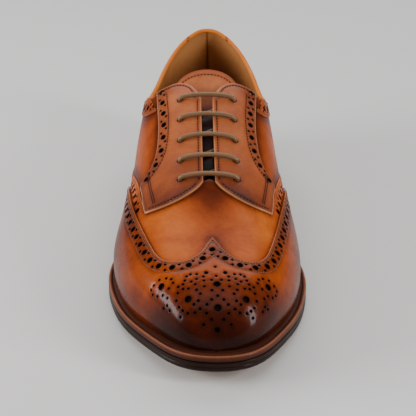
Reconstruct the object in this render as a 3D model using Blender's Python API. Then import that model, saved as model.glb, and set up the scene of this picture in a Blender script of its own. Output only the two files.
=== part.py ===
"""Right brogue derby shoe, toe towards -Y, medial side towards +X, standing on Z = 0.

Sole, upper and overlays are all read from one last: a plan outline, a side profile and a
family of cross sections. A place on the upper is named by two numbers. The first is the
share of the length from heel to toe. The second is the share of the girth from the feather
edge (0) to the ridge line over the instep (1), given a minus sign on the lateral side.
"""
import bmesh
import bpy
import numpy as np

for item in list(bpy.data.objects):
    bpy.data.objects.remove(item, do_unlink=True)


# Driving dimensions, in metres
SHOE_LENGTH = 0.306
BALL_WIDTH = 0.114
INSTEP_HEIGHT = 0.110
HEEL_HEIGHT = 0.026
TOE_SPRING = 0.0085
OUTSOLE_THICK = 0.0060
WELT_THICK = 0.0040
WELT_SHOWN = 0.0048
WELT_SEAT = 0.0095
EDGE_BEVEL = 0.0007
TOE_EXTENSION = 0.0048
HEEL_EXTENSION = 0.0022
TOE_END_RADIUS = 0.046
HEEL_END_RADIUS = 0.031
TOE_RISE_RADIUS = 0.030
FEATHER_RISE = 0.012
TOP_PIECE_THICK = 0.0062
HEEL_INSET = 0.0006
TONGUE_CROWN = 0.042
BREAST_AT = 0.262
BACKSTAY_TO = 0.014
BREAST_CURVE = 0.0040
INSOLE_THICK = 0.0030
INSOLE_CLEARANCE = 0.0016
UPPER_WALL = 0.0020
VAMP_STEP = 0.0008
WING_CAP_THICK = 0.0010
FACING_THICK = 0.0014
BAND_THICK = 0.0009
TONGUE_THICK = 0.0020
TONGUE_HALF_WIDTH = 0.0270
SKIN_ALLOWANCE = 0.0006
ROLL_RADIUS = 0.0014
THROAT_HALF_GAP = 0.0034
THROAT_MARGIN = 0.0012
LACE_RADIUS = 0.00135
LACE_SLACK = 0.0008
LACE_BEND = 0.00195
EYELET_RADIUS = 0.00185
EYELET_FROM_EDGE = 0.0127
BROGUE_RADIUS = 0.0017
BROGUE_PITCH = 0.0088
BROGUE_INSET = 0.0044
BROGUE_STOPS = 0.60
MEDALLION_RADIUS = 0.0019
PUNCH_REACH = 0.009
PANEL_GAP = 0.0003
LAYER_GAP = 0.00055
PANEL_FOOT = 0.0009
FOOT_SHARE_LIMIT = 0.03

# Outer faces of the layers, measured from the finished skin
VAMP_FACE = SKIN_ALLOWANCE - WING_CAP_THICK - LAYER_GAP
QUARTER_FACE = VAMP_FACE - VAMP_STEP
INNER_FACE = QUARTER_FACE - UPPER_WALL
FACING_FACE = QUARTER_FACE + LAYER_GAP + FACING_THICK

# Sole: share of length from the heel, middle line and half width as shares of the ball
# width, and the share of WELT_SHOWN that stands out round the upper
SOLE_ROWS = (
    (0.000, 0.000, None, 0.42),
    (0.060, 0.000, 0.232, 0.46),
    (0.130, 0.000, 0.288, 0.46),
    (0.220, -0.002, 0.304, 0.50),
    (0.320, -0.007, 0.314, 0.58),
    (0.420, -0.010, 0.350, 0.71),
    (0.520, -0.010, 0.416, 0.83),
    (0.600, -0.006, 0.469, 0.92),
    (0.678, 0.000, 0.500, 1.00),
    (0.760, 0.009, 0.476, 1.00),
    (0.840, 0.019, 0.411, 1.00),
    (0.910, 0.033, 0.314, 1.00),
    (0.960, 0.042, 0.226, 1.00),
    (1.000, 0.044, None, 1.00),
)

# Underside: share of length, share of the heel height, share of the toe spring
SIDE_ROWS = (
    (0.00, 1.020, 0.00),
    (0.14, 1.000, 0.00),
    (0.26, 0.985, 0.00),
    (0.36, 0.720, 0.00),
    (0.46, 0.320, 0.00),
    (0.56, 0.045, 0.00),
    (0.62, 0.000, 0.00),
    (0.68, 0.000, 0.00),
    (0.74, 0.000, 0.02),
    (0.82, 0.000, 0.18),
    (0.91, 0.000, 0.54),
    (1.00, 0.000, 1.00),
)
TREAD_FROM, TREAD_TO = 0.62, 0.68

# Sections of the upper: share of length, lateral and medial swell past the feather edge as
# shares of the ball width, ridge height as a share of the instep height, ridge place from
# the middle line as a share of the ball width, and how square the section is
UPPER_ROWS = (
    (0.00, 0.026, 0.026, 1.020, 0.000, 2.10),
    (0.12, 0.030, 0.030, 1.040, 0.000, 2.20),
    (0.25, 0.051, 0.051, 1.045, 0.004, 2.70),
    (0.36, 0.070, 0.074, 1.000, 0.010, 2.95),
    (0.44, 0.066, 0.072, 0.925, 0.011, 2.65),
    (0.52, 0.032, 0.048, 0.835, 0.012, 2.30),
    (0.60, 0.008, 0.022, 0.730, 0.014, 2.05),
    (0.68, 0.007, 0.004, 0.620, 0.014, 1.98),
    (0.76, 0.014, 0.010, 0.530, 0.014, 2.12),
    (0.84, 0.021, 0.019, 0.470, 0.014, 2.32),
    (0.90, 0.023, 0.023, 0.432, 0.014, 2.40),
    (0.95, 0.023, 0.023, 0.385, 0.014, 2.40),
    (1.00, 0.023, 0.023, None, 0.014, 2.30),
)

# Back line: height over the feather edge as a share of the instep height, and how far the
# back stands out as a share of the shoe length
BACK_ROWS = (
    (0.000, 0.0000),
    (0.109, 0.0072),
    (0.218, 0.0098),
    (0.364, 0.0026),
    (0.509, -0.0163),
    (0.682, -0.0425),
    (0.909, -0.0817),
)
BACK_REACH = 0.245

# Seams of one side of the upper, from the heel to the toe: share of length at the feather,
# share of length and girth of the line where the vamp laps the quarter, share of length and
# girth of the topline, facing top, throat and ridge
UPPER_STATIONS = (
    (0.000, 0.000, 0.430, 0.0000, 0.757),
    (0.003, 0.003, 0.430, 0.0030, 0.730),
    (0.012, 0.012, 0.426, 0.0120, 0.680),
    (0.025, 0.025, 0.416, 0.0220, 0.641),
    (0.045, 0.045, 0.400, 0.0400, 0.588),
    (0.070, 0.070, 0.375, 0.0600, 0.540),
    (0.110, 0.110, 0.330, 0.1000, 0.462),
    (0.160, 0.160, 0.270, 0.1500, 0.405),
    (0.210, 0.210, 0.235, 0.2000, 0.380),
    (0.260, 0.260, 0.218, 0.2500, 0.388),
    (0.310, 0.310, 0.212, 0.3000, 0.420),
    (0.355, 0.355, 0.212, 0.3450, 0.485),
    (0.395, 0.395, 0.222, 0.3850, 0.565),
    (0.430, 0.430, 0.242, 0.4150, 0.650),
    (0.460, 0.465, 0.275, 0.4310, 0.725),
    (0.490, 0.500, 0.320, 0.4375, 0.810),
    (0.520, 0.535, 0.380, 0.4450, 0.885),
    (0.555, 0.570, 0.440, 0.4620, 0.935),
    (0.600, 0.610, 0.490, 0.5000, 0.953),
    (0.640, 0.645, 0.515, 0.5700, 0.957),
    (0.675, 0.675, 0.535, 0.6300, 0.957),
    (0.705, 0.700, 0.560, 0.6720, 0.962),
    (0.730, 0.725, 0.570, 0.6830, 1.000),
    (0.765, 0.760, 0.570, 0.7350, 1.000),
    (0.805, 0.800, 0.570, 0.7850, 1.000),
    (0.850, 0.845, 0.570, 0.8350, 1.000),
    (0.893, 0.890, 0.570, 0.8850, 1.000),
    (0.930, 0.928, 0.570, 0.9250, 1.000),
    (0.960, 0.960, 0.570, 0.9580, 1.000),
    (0.983, 0.983, 0.570, 0.9820, 1.000),
    (0.996, 0.996, 0.570, 0.9960, 1.000),
    (1.000, 1.000, 0.570, 1.0000, 1.000),
)
LAP_FADES_FROM, LAP_FADES_TO = 0.650, 0.690
THROAT_FROM = 0.456
FACING_RISES_FROM, FACING_RISES_TO = 0.600, 0.650
LAP_WIDTH = 0.008
UPPER_LOW_COLUMNS = (0.0, 0.16, 0.34, 0.64, 1.0)
UPPER_HIGH_COLUMNS = 5

# Wing cap, peak to feather: share of length and girth of its brogued edge
WING_ROWS = (
    (0.812, 1.000),
    (0.826, 0.965),
    (0.844, 0.922),
    (0.858, 0.862),
    (0.867, 0.786),
    (0.866, 0.708),
    (0.859, 0.642),
    (0.843, 0.592),
    (0.811, 0.560),
    (0.775, 0.537),
    (0.735, 0.511),
    (0.690, 0.478),
    (0.640, 0.437),
    (0.590, 0.385),
    (0.540, 0.310),
    (0.490, 0.215),
    (0.445, 0.110),
    (0.415, 0.000),
)

# Facing, lateral side: share of length and girth along each of its four edges
FACING_OUTER_ROWS = (
    (0.432, 0.700), (0.470, 0.702), (0.512, 0.703), (0.553, 0.690), (0.584, 0.664),
    (0.604, 0.622), (0.615, 0.575), (0.622, 0.538), (0.648, 0.541), (0.680, 0.550), (0.714, 0.560),
)
FACING_FRONT_ROWS = (
    (0.714, 0.560), (0.719, 0.640), (0.719, 0.720), (0.714, 0.800), (0.705, 0.868), (0.695, 0.920),
    (0.681, 0.955),
)
FACING_TOP_ROWS = (
    (0.432, 0.700), (0.4365, 0.760), (0.439, 0.830), (0.447, 0.890), (0.463, 0.934), (0.490, 0.955),
)
FACING_INNER_FROM, FACING_INNER_TO = 0.490, 0.681
EYELET_AT = (0.4875, 0.5355, 0.5825, 0.6290, 0.6705)

# Brogued band under the collar: share of length and girth of its lower edge
BAND_ROWS = (
    (0.000, 0.615),
    (0.030, 0.500),
    (0.060, 0.425),
    (0.100, 0.355),
    (0.150, 0.302),
    (0.200, 0.282),
    (0.250, 0.288),
    (0.300, 0.325),
    (0.350, 0.395),
    (0.400, 0.475),
    (0.440, 0.555),
    (0.463, 0.628),
    (0.474, 0.686),
)
BAND_FROM, BAND_TO = 0.018, 0.4225
BAND_RISES_OVER = 0.06
COLLAR_STOPS = 0.405

# Tongue: share of length, and its depth under the lining of the upper as a share of the
# room that the lace takes
TONGUE_ROWS = (
    (0.402, -0.62),
    (0.420, -0.30),
    (0.440, 0.26),
    (0.458, 0.62),
    (0.476, 1.00),
    (0.560, 1.00),
    (0.640, 1.00),
    (0.685, 0.80),
    (0.715, 0.12),
    (0.740, 0.10),
)

# Medallion on the toe: share of length, and place from the middle line as a share of the
# ball width
MEDALLION_ROWS = (
    (0.929, 0.000),
    (0.951, 0.130),
    (0.907, 0.254),
    (0.969, 0.000),
)


def spline(places, values):
    """Natural cubic spline through a table, returned as a function of an array."""
    x = np.asarray(places, float)
    y = np.asarray(values, float)
    step = np.diff(x)
    rows = len(x)
    matrix = np.eye(rows)
    right = np.zeros(rows)
    for row in range(1, rows - 1):
        matrix[row, row - 1:row + 2] = step[row - 1], 2 * (step[row - 1] + step[row]), step[row]
        right[row] = 6 * ((y[row + 1] - y[row]) / step[row] - (y[row] - y[row - 1]) / step[row - 1])
    bend = np.linalg.solve(matrix, right)

    def value(at):
        place = np.asarray(at, float)
        left = np.clip(np.searchsorted(x, place) - 1, 0, rows - 2)
        width = step[left]
        before = (x[left + 1] - place) / width
        after = 1 - before
        straight = before * y[left] + after * y[left + 1]
        curve = (before ** 3 - before) * bend[left] + (after ** 3 - after) * bend[left + 1]
        return straight + curve * width ** 2 / 6

    return value


def turn(at):
    """Half turn share for a share of length: rows bunch at both ends as on a circle."""
    return np.arccos(1 - 2 * np.clip(at, 0, 1)) / np.pi


def length_share(t):
    return (1 - np.cos(np.pi * t)) / 2


def ramp(value, low, high):
    """Smooth step from 0 at low to 1 at high."""
    share = np.clip((value - low) / (high - low), 0, 1)
    return share * share * (3 - 2 * share)


# Plan outline and side profile of the sole
sole_at = [row[0] for row in SOLE_ROWS]
sole_turn = [float(turn(at)) for at in sole_at]
heel_fullness = np.sqrt(HEEL_END_RADIUS * SHOE_LENGTH / 2)
toe_fullness = np.sqrt(TOE_END_RADIUS * SHOE_LENGTH / 2)
inner_rows = list(zip(SOLE_ROWS, sole_turn))[1:-1]
inner_fullness = [BALL_WIDTH * row[2] / np.sin(np.pi * t) for row, t in inner_rows]
sole_fullness = spline(sole_turn, [heel_fullness, *inner_fullness, toe_fullness])
sole_middle = spline(sole_at, [BALL_WIDTH * row[1] for row in SOLE_ROWS])
welt_shown = spline(sole_at, [WELT_SHOWN * row[3] for row in SOLE_ROWS])
side_heights = [HEEL_HEIGHT * row[1] + TOE_SPRING * row[2] for row in SIDE_ROWS]
side_profile = spline([row[0] for row in SIDE_ROWS], side_heights)


def underside(y):
    """Height of the outsole's lower face: flat at the tread, raised at heel and toe."""
    at = 0.5 - np.asarray(y) / SHOE_LENGTH
    flat = (at > TREAD_FROM) & (at < TREAD_TO)
    return np.where(flat, 0.0, np.maximum(side_profile(at), 0.0))


def feather_height(y):
    return underside(y) + OUTSOLE_THICK + WELT_THICK


def sole_edge(t, side, inset=0.0):
    """Plan outline at half turn share t, moved inwards by inset square to the edge."""

    def outline(share):
        at = length_share(share)
        x = sole_middle(at) + side * np.sin(np.pi * share) * sole_fullness(share)
        return np.stack([x, SHOE_LENGTH * (0.5 - at)], -1)

    step = 0.001
    along = outline(np.clip(t + step, 0, 1)) - outline(np.clip(t - step, 0, 1))
    along /= np.linalg.norm(along, axis=-1, keepdims=True)
    inward = np.stack([-side * np.abs(along[..., 1]), side * np.sign(along[..., 1]) * along[..., 0]], -1)
    return outline(t) + inward * np.asarray(inset)[..., None]


# Sections of the upper
upper_at = [row[0] for row in UPPER_ROWS]
upper_turn = [float(turn(at)) for at in upper_at]
LAST_TOE = SHOE_LENGTH / 2 - TOE_EXTENSION
LAST_HEEL = SHOE_LENGTH / 2 - HEEL_EXTENSION
LAST_LENGTH = LAST_TOE + LAST_HEEL
swell = {
    -1: spline(upper_at, [BALL_WIDTH * row[1] for row in UPPER_ROWS]),
    1: spline(upper_at, [BALL_WIDTH * row[2] for row in UPPER_ROWS]),
}
ridge_place = spline(upper_at, [BALL_WIDTH * row[4] for row in UPPER_ROWS])
squareness = spline(upper_at, [row[5] for row in UPPER_ROWS])
back_heights = [INSTEP_HEIGHT * row[0] for row in BACK_ROWS]
back_line = spline(back_heights, [SHOE_LENGTH * row[1] for row in BACK_ROWS])


def ridge_over_feather(row):
    y = LAST_HEEL - row[0] * LAST_LENGTH
    return (INSTEP_HEIGHT * row[3] - feather_height(y)) / np.sqrt(1 - row[0])


toe_rise = np.sqrt(2 * TOE_RISE_RADIUS * LAST_LENGTH)
ridge_heights = [float(ridge_over_feather(row)) for row in UPPER_ROWS[:-1]]
ridge_fullness = spline(upper_turn, [*ridge_heights, toe_rise])


def rising(t, share):
    """0 at both ends of the shoe and 1 between them."""
    wave = np.sin(np.pi * t)
    return wave / np.sqrt(wave ** 2 + share ** 2)


def section_point(t, side, q):
    """Skin of one side: q is 0 at the feather edge, 1 at the widest line, 2 at the ridge.

    Below the widest line the wall is a parabola. Above it the section is a superellipse
    quarter up to the ridge. Near the heel the whole section leans with the back line.
    """
    at = length_share(t)
    y = LAST_HEEL - at * LAST_LENGTH
    middle = sole_middle(at)
    half = np.sin(np.pi * t) * sole_fullness(t) - welt_shown(at) * rising(t, 0.3)
    height = np.sqrt(np.clip(1 - at, 0, 1)) * ridge_fullness(t)
    stand_out = np.where(side < 0, swell[-1](at), swell[1](at)) * rising(t, 0.22)
    rise = FEATHER_RISE * height / (height + 1.2 * FEATHER_RISE)
    power = squareness(at)
    ridge_x = middle + ridge_place(at) * rising(t, 0.5)
    low = np.clip(q, 0, 1) - 1
    x_low = middle + side * (half + stand_out * (1 - low ** 2))
    z_low = rise * (1 + low)
    angle = np.clip(q - 1, 0, 1) * np.pi / 2
    cosine = np.abs(np.cos(angle))
    sine = np.abs(np.sin(angle))
    radius = (cosine ** power + sine ** power) ** (-1 / power)
    x_high = ridge_x + (middle + side * (half + stand_out) - ridge_x) * radius * cosine
    z_high = rise + (height - rise) * radius * sine
    x = np.where(q < 1, x_low, x_high)
    z = np.where(q < 1, z_low, z_high)
    back_reach = BACK_REACH * SHOE_LENGTH
    near_back = ramp(y, LAST_HEEL - back_reach, LAST_HEEL)
    return np.stack([x, y + back_line(z) * near_back, z + feather_height(y)], -1)


# Girth table: where along a section a share of its girth lies
GIRTH_ROWS = 301
GIRTH_STEPS = 151
girth_turns = np.linspace(0, 1, GIRTH_ROWS)
girth_places = {}
girth_lengths = {}
for flank in (-1, 1):
    fine = np.linspace(0, 2, 401)
    arcs = section_point(girth_turns[:, None], flank, fine[None, :])
    travelled = np.zeros((GIRTH_ROWS, len(fine)))
    travelled[:, 1:] = np.cumsum(np.linalg.norm(np.diff(arcs, axis=1), axis=2), axis=1)
    girth_lengths[flank] = travelled[:, -1].copy()
    travelled[-1] = travelled[-2]
    shares = np.linspace(0, 1, GIRTH_STEPS)
    girth_places[flank] = np.array([np.interp(shares, row / row[-1], fine) for row in travelled])


def girth(at, side=-1):
    """Length of one side of the section, from the feather edge to the ridge."""
    return np.interp(turn(at), girth_turns, girth_lengths[side])


def skin(t, w, lift=0.0):
    """Point over the skin: half turn share t, signed place w (-1 and 1 at the feather edge,
    0 on the ridge), and lift square to the skin."""
    t, w, lift = np.broadcast_arrays(np.asarray(t, float), np.asarray(w, float), np.asarray(lift, float))

    def base(turns, places):
        side = np.where(places < 0, -1, 1)
        share = 1 - np.abs(np.clip(places, -1, 1))
        row = np.clip(turns * (GIRTH_ROWS - 1), 0, GIRTH_ROWS - 1.000001)
        column = np.clip(share * (GIRTH_STEPS - 1), 0, GIRTH_STEPS - 1.000001)
        i, j = row.astype(int), column.astype(int)
        u, v = row - i, column - j
        q = np.zeros(share.shape)
        for flank in (-1, 1):
            table = girth_places[flank]
            read = (1 - u) * ((1 - v) * table[i, j] + v * table[i, j + 1])
            read += u * ((1 - v) * table[i + 1, j] + v * table[i + 1, j + 1])
            q = np.where(side == flank, read, q)
        return section_point(turns, side, q)

    step = 0.002
    inner_t = np.clip(t, step, 1 - 2 * step)
    inner_w = np.clip(w, step - 1, 1 - step)
    along = base(inner_t + step, inner_w) - base(inner_t - step, inner_w)
    across = base(inner_t, inner_w + step) - base(inner_t, inner_w - step)
    normal = np.cross(along, across)
    normal /= np.linalg.norm(normal, axis=-1, keepdims=True)
    normal[t > 1 - step] = (0.0, -1.0, 0.0)
    return base(t, w) + normal * lift[..., None]


# Meshes
def colour_material(name, colour, roughness):
    material = bpy.data.materials.new(name)
    material.use_nodes = True
    shader = material.node_tree.nodes["Principled BSDF"]
    shader.inputs["Base Color"].default_value = (*colour, 1.0)
    shader.inputs["Roughness"].default_value = roughness
    shader.inputs["Metallic"].default_value = 0.0
    material.diffuse_color = (*colour, 1.0)
    return material


def add_object(name, points, faces, material):
    mesh = bpy.data.meshes.new(name)
    mesh.from_pydata([tuple(map(float, point)) for point in points], [], faces)
    mesh.validate()
    mesh.update()
    mesh.shade_smooth()
    mesh.set_sharp_from_angle(angle=np.radians(35))
    mesh.materials.append(material)
    made = bpy.data.objects.new(name, mesh)
    bpy.context.scene.collection.objects.link(made)
    return made


def ring_faces(low, high, count):
    """Quads between two rings of count points that start at low and high."""
    faces = []
    for place in range(count):
        after = (place + 1) % count
        faces.append((low + place, low + after, high + after, high + place))
    return faces


def sheet_solid(name, patches, material):
    """Closed sheet from patches, each an outer and an inner grid with matching points.

    Points that meet are joined, and a rim closes every free edge of the sheet.
    """
    outer, inner, faces = [], [], []
    for outer_grid, inner_grid in patches:
        rows, columns = outer_grid.shape[:2]
        first = len(outer)
        outer.extend(outer_grid.reshape(-1, 3))
        inner.extend(inner_grid.reshape(-1, 3))
        for row in range(rows - 1):
            for column in range(columns - 1):
                corner = first + row * columns + column
                faces.append((corner, corner + columns, corner + columns + 1, corner + 1))
    weld = 1e-5
    keys = np.round(np.array(outer) / weld).astype(int)
    _, kept, joined = np.unique(keys, axis=0, return_index=True, return_inverse=True)
    joined = joined.reshape(-1)
    sheet = []
    for face in faces:
        corners = [int(joined[corner]) for corner in face]
        corners = [corner for place, corner in enumerate(corners) if corner != corners[place - 1]]
        if len(corners) > 2:
            sheet.append(tuple(corners))
    sides = {(face[place - 1], face[place]) for face in sheet for place in range(len(face))}
    count = len(kept)
    solid = list(sheet)
    solid += [tuple(corner + count for corner in reversed(face)) for face in sheet]
    solid += [(b, a, a + count, b + count) for a, b in sides if (b, a) not in sides]
    points = np.concatenate([np.array(outer)[kept], np.array(inner)[kept]])
    return add_object(name, points, solid, material)


def curve_through(rows, count):
    """Smooth curve through a table of points, read at even steps of its length."""
    points = np.asarray(rows, float)
    travelled = np.concatenate([[0.0], np.cumsum(np.linalg.norm(np.diff(points, axis=0), axis=1))])
    places = np.linspace(0, travelled[-1], count)
    return np.stack([spline(travelled, points[:, column])(places) for column in range(points.shape[1])], -1)


def pattern_curve(rows, count, side=-1):
    """Seam given as shares of length and girth, as half turn shares and signed places."""
    table = [(float(turn(at)), side * (1 - share)) for at, share in rows]
    return curve_through(table, count)


def fill_patch(start, end, low, high):
    """Coons patch of the pattern plane between its four edge curves.

    start and end run along the rows, low and high join them at the first and last row.
    """
    u = np.linspace(0, 1, len(start))[:, None, None]
    v = np.linspace(0, 1, len(low))[None, :, None]
    ruled = (1 - v) * start[:, None] + v * end[:, None] + (1 - u) * low[None] + u * high[None]
    corners = (1 - u) * ((1 - v) * start[0] + v * end[0]) + u * ((1 - v) * start[-1] + v * end[-1])
    return ruled - corners


def sheet_patch(plan, outer_lift, inner_lift):
    """Outer and inner grids of one patch of the pattern plane, turned to face outwards."""
    t, w = plan[..., 0], plan[..., 1]
    outer = skin(t, w, outer_lift)
    inner = skin(t, w, inner_lift)
    across = outer[1:, :-1] - outer[:-1, :-1]
    along = outer[:-1, 1:] - outer[:-1, :-1]
    spread = np.cross(across, along)
    outward = (outer - inner)[:-1, :-1]
    if np.sum(spread * outward) < 0:
        outer, inner = outer[:, ::-1], inner[:, ::-1]
    return outer, inner


# Upper: one hollow sheet, open at the collar, the throat and the sole. The vamp and foxing
# lap the quarter, which shows as a step in the wall.
def layer_face(at):
    """Outer face of the quarter: it rises to the vamp's face under the facing."""
    return QUARTER_FACE + VAMP_STEP * ramp(at, LAP_FADES_FROM, LAP_FADES_TO)


def collar_drop(at):
    """Room under the topline for the rolled collar edge, as a share of the girth."""
    room = 2 * ROLL_RADIUS + LAYER_GAP
    return room * (1 - ramp(at, COLLAR_STOPS, COLLAR_STOPS + 0.025)) / girth(at)


def throat_share(at, half_gap):
    return 1 - half_gap / girth(at)


def upper_patches(side):
    low_shares = np.array(UPPER_LOW_COLUMNS)[:, None]
    high_shares = np.linspace(0, 1, UPPER_HIGH_COLUMNS)[:, None]
    plan, lift = [], []
    for feather_at, lap_at, lap_share, open_at, open_share in UPPER_STATIONS:
        share = open_share - collar_drop(open_at)
        at_throat = THROAT_FROM < open_at < LAP_FADES_TO and open_share < 1
        if at_throat:
            share = min(share, throat_share(open_at, THROAT_HALF_GAP + THROAT_MARGIN))
        feather = np.array([turn(feather_at), 0.0])
        lap = np.array([turn(lap_at), lap_share])
        lap_top = np.array([turn(lap_at), lap_share + LAP_WIDTH])
        opening = np.array([turn(open_at), share])
        low = feather + (lap - feather) * low_shares
        high = lap_top + (opening - lap_top) * high_shares
        row = np.concatenate([low, high])
        plan.append(np.stack([row[:, 0], side * (1 - row[:, 1])], -1))
        faces = layer_face(length_share(row[:, 0]))
        faces[:len(low)] = VAMP_FACE
        lift.append(faces)
    return sheet_patch(np.array(plan), np.array(lift), INNER_FACE)


def build_upper(material):
    return sheet_solid("upper", [upper_patches(-1), upper_patches(1)], material)


# Wing cap: toe overlay with a peaked, brogued edge and two tails
def wing_edge(side, count):
    rows = list(WING_ROWS)
    foot = PANEL_FOOT / girth(rows[-1][0])
    rows[-1] = (rows[-1][0], foot)
    return pattern_curve(rows, count, side)


def wing_patches(side):
    along, up = 26, 9
    edge = wing_edge(side, along)
    tail = edge[-1, 0]
    toe_rows = 8
    toe_line = np.stack([np.ones(toe_rows), side * np.linspace(0, 1, toe_rows)], -1)
    foot_rows = along - toe_rows
    foot_turns = np.linspace(1, tail, foot_rows + 1)[1:]
    foot_shares = PANEL_FOOT / girth(length_share(foot_turns))
    foot_shares = np.minimum(foot_shares, FOOT_SHARE_LIMIT)
    foot_line = np.stack([foot_turns, side * (1 - foot_shares)], -1)
    foot = np.concatenate([toe_line, foot_line])
    share = np.linspace(0, 1, up)[None, :, None]
    plan = foot[:, None] * (1 - share) + edge[:, None] * share
    return sheet_patch(plan, SKIN_ALLOWANCE, SKIN_ALLOWANCE - WING_CAP_THICK)


def build_wing_cap(material):
    return sheet_solid("wing_cap", [wing_patches(-1), wing_patches(1)], material)


# Facings: the quarters' lacing fronts, lying on the quarter and over the vamp
def build_facing(name, side, material):
    rows, columns = 15, 7
    inner_at = np.linspace(FACING_INNER_FROM, FACING_INNER_TO, 9)
    inner_rows = [(at, throat_share(at, THROAT_HALF_GAP)) for at in inner_at]
    top_rows = [*FACING_TOP_ROWS[:-1], inner_rows[0]]
    front_rows = [*FACING_FRONT_ROWS[:-1], inner_rows[-1]]
    outer_edge = pattern_curve(FACING_OUTER_ROWS, rows, side)
    inner_edge = pattern_curve(inner_rows, rows, side)
    top_edge = pattern_curve(top_rows, columns, side)
    front_edge = pattern_curve(front_rows, columns, side)
    plan = fill_patch(outer_edge, inner_edge, top_edge, front_edge)
    over_vamp = VAMP_STEP * ramp(length_share(plan[..., 0]), FACING_RISES_FROM, FACING_RISES_TO)
    patch = sheet_patch(plan, FACING_FACE + over_vamp, FACING_FACE - FACING_THICK + over_vamp)
    return sheet_solid(name, [patch], material)


# Collar band: brogued strap under the collar, from the facing to the back
def topline_rows():
    return [(row[3], row[4]) for row in UPPER_STATIONS if row[3] < 0.432]


def table_share(rows, at):
    """Girth share of a seam at a share of the length, read from its table."""
    return spline([row[0] for row in rows], [row[1] for row in rows])(at)


def build_collar_band(name, side, material):
    rows, columns = 20, 3
    top_at = np.linspace(BAND_FROM, BAND_TO, rows)
    low_at = np.linspace(BAND_FROM, BAND_ROWS[-1][0], rows)
    top = np.stack([turn(top_at), table_share(topline_rows(), top_at) - collar_drop(top_at)], -1)
    low = np.stack([turn(low_at), table_share(BAND_ROWS, low_at)], -1)
    share = np.linspace(0, 1, columns)[None, :, None]
    plan = low[:, None] * (1 - share) + top[:, None] * share
    plan[..., 1] = side * (1 - plan[..., 1])
    near_facing = ramp(plan[..., 0], turn(BAND_TO - BAND_RISES_OVER), turn(BAND_TO))
    inner = QUARTER_FACE + LAYER_GAP + PANEL_GAP * near_facing
    return sheet_solid(name, [sheet_patch(plan, inner + BAND_THICK, inner)], material)


# Backstay: plain strip over the back seam, from the collar to the foxing
def build_backstay(material):
    rows, columns = 6, 5
    halves = []
    for side in (-1, 1):
        at = length_share(np.linspace(0, turn(BACKSTAY_TO), columns))
        back_rows = [(row[1], row[2]) for row in UPPER_STATIONS[:6]]
        top_share = table_share(topline_rows(), at) - collar_drop(at)
        low_share = table_share(back_rows, at) + LAP_WIDTH + 2 * PANEL_GAP / girth(at)
        share = np.linspace(0, 1, rows)[None, :]
        places = low_share[:, None] * (1 - share) + top_share[:, None] * share
        turns = np.broadcast_to(turn(at)[:, None], places.shape)
        plan = np.stack([turns, side * (1 - places)], -1)
        inner = QUARTER_FACE + LAYER_GAP
        halves.append(sheet_patch(plan, inner + BAND_THICK, inner))
    return sheet_solid("backstay", halves, material)


# Collar roll: the rounded, turned edge of the collar lining
def tube_solid(name, points, radii, sides, material):
    """Closed round tube along a route, with a flat cap at each end."""
    along = np.gradient(points, axis=0)
    along /= np.linalg.norm(along, axis=1, keepdims=True)
    across = np.zeros_like(points)
    start = np.cross(along[0], (0.0, 0.0, 1.0))
    if np.linalg.norm(start) < 0.1:
        start = np.cross(along[0], (0.0, 1.0, 0.0))
    across[0] = start / np.linalg.norm(start)
    for row in range(1, len(points)):
        carried = across[row - 1] - along[row] * np.dot(across[row - 1], along[row])
        across[row] = carried / np.linalg.norm(carried)
    third = np.cross(along, across)
    angles = np.linspace(0, 2 * np.pi, sides, endpoint=False)[None, :, None]
    ring = across[:, None] * np.cos(angles) + third[:, None] * np.sin(angles)
    tube = points[:, None] + ring * np.asarray(radii)[:, None, None]
    rows = len(points)
    faces = []
    for row in range(rows - 1):
        faces += ring_faces(row * sides, (row + 1) * sides, sides)
    faces.append(tuple(range(sides - 1, -1, -1)))
    faces.append(tuple(range((rows - 1) * sides, rows * sides)))
    return add_object(name, tube.reshape(-1, 3), faces, material)


def build_collar_roll(material):
    at = np.array([row[0] for row in topline_rows() if row[0] < COLLAR_STOPS] + [COLLAR_STOPS])
    share = table_share(topline_rows(), at)
    radii = ROLL_RADIUS * (1 - 0.5 * ramp(at, COLLAR_STOPS - 0.06, COLLAR_STOPS))
    middle_of_wall = (QUARTER_FACE + INNER_FACE) / 2
    lateral = skin(turn(at), share - 1, middle_of_wall)
    medial = skin(turn(at), 1 - share, middle_of_wall)
    lateral[:, 2] -= radii
    medial[:, 2] -= radii
    route = np.concatenate([lateral[::-1], medial[1:]])
    return tube_solid("collar_roll", route, np.concatenate([radii[::-1], radii[1:]]), 6, material)


# Tongue: a strip under the throat, deep enough to leave the lace its room
def build_tongue(material):
    rows, columns = 15, 7
    lace_room = 2 * LACE_RADIUS + LACE_SLACK + 2 * PANEL_GAP
    at = np.linspace(TONGUE_ROWS[0][0], TONGUE_ROWS[-1][0], rows)
    across = np.linspace(-1, 1, columns)
    half_width = TONGUE_HALF_WIDTH * (1 - 0.30 * ramp(at, 0.56, 0.74))
    places = across[None, :] * (half_width / girth(at))[:, None]
    crown = TONGUE_CROWN * (1 - ramp(at, TONGUE_ROWS[0][0], EYELET_AT[0]))
    seat = at[:, None] + crown[:, None] * across[None, :] ** 2
    depth = spline([row[0] for row in TONGUE_ROWS], [row[1] for row in TONGUE_ROWS])(seat)
    outer = INNER_FACE - PANEL_GAP - lace_room * depth
    plan = np.stack([turn(seat), places], -1)
    patch = sheet_patch(plan, outer, outer - TONGUE_THICK)
    return sheet_solid("tongue", [patch], material)


# Lace: straight bars over the throat, joined by slanting runs under the facings
def eyelet_place(row, side):
    at = EYELET_AT[row]
    return np.array([at, side * (THROAT_HALF_GAP + EYELET_FROM_EDGE) / girth(at)])


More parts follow.
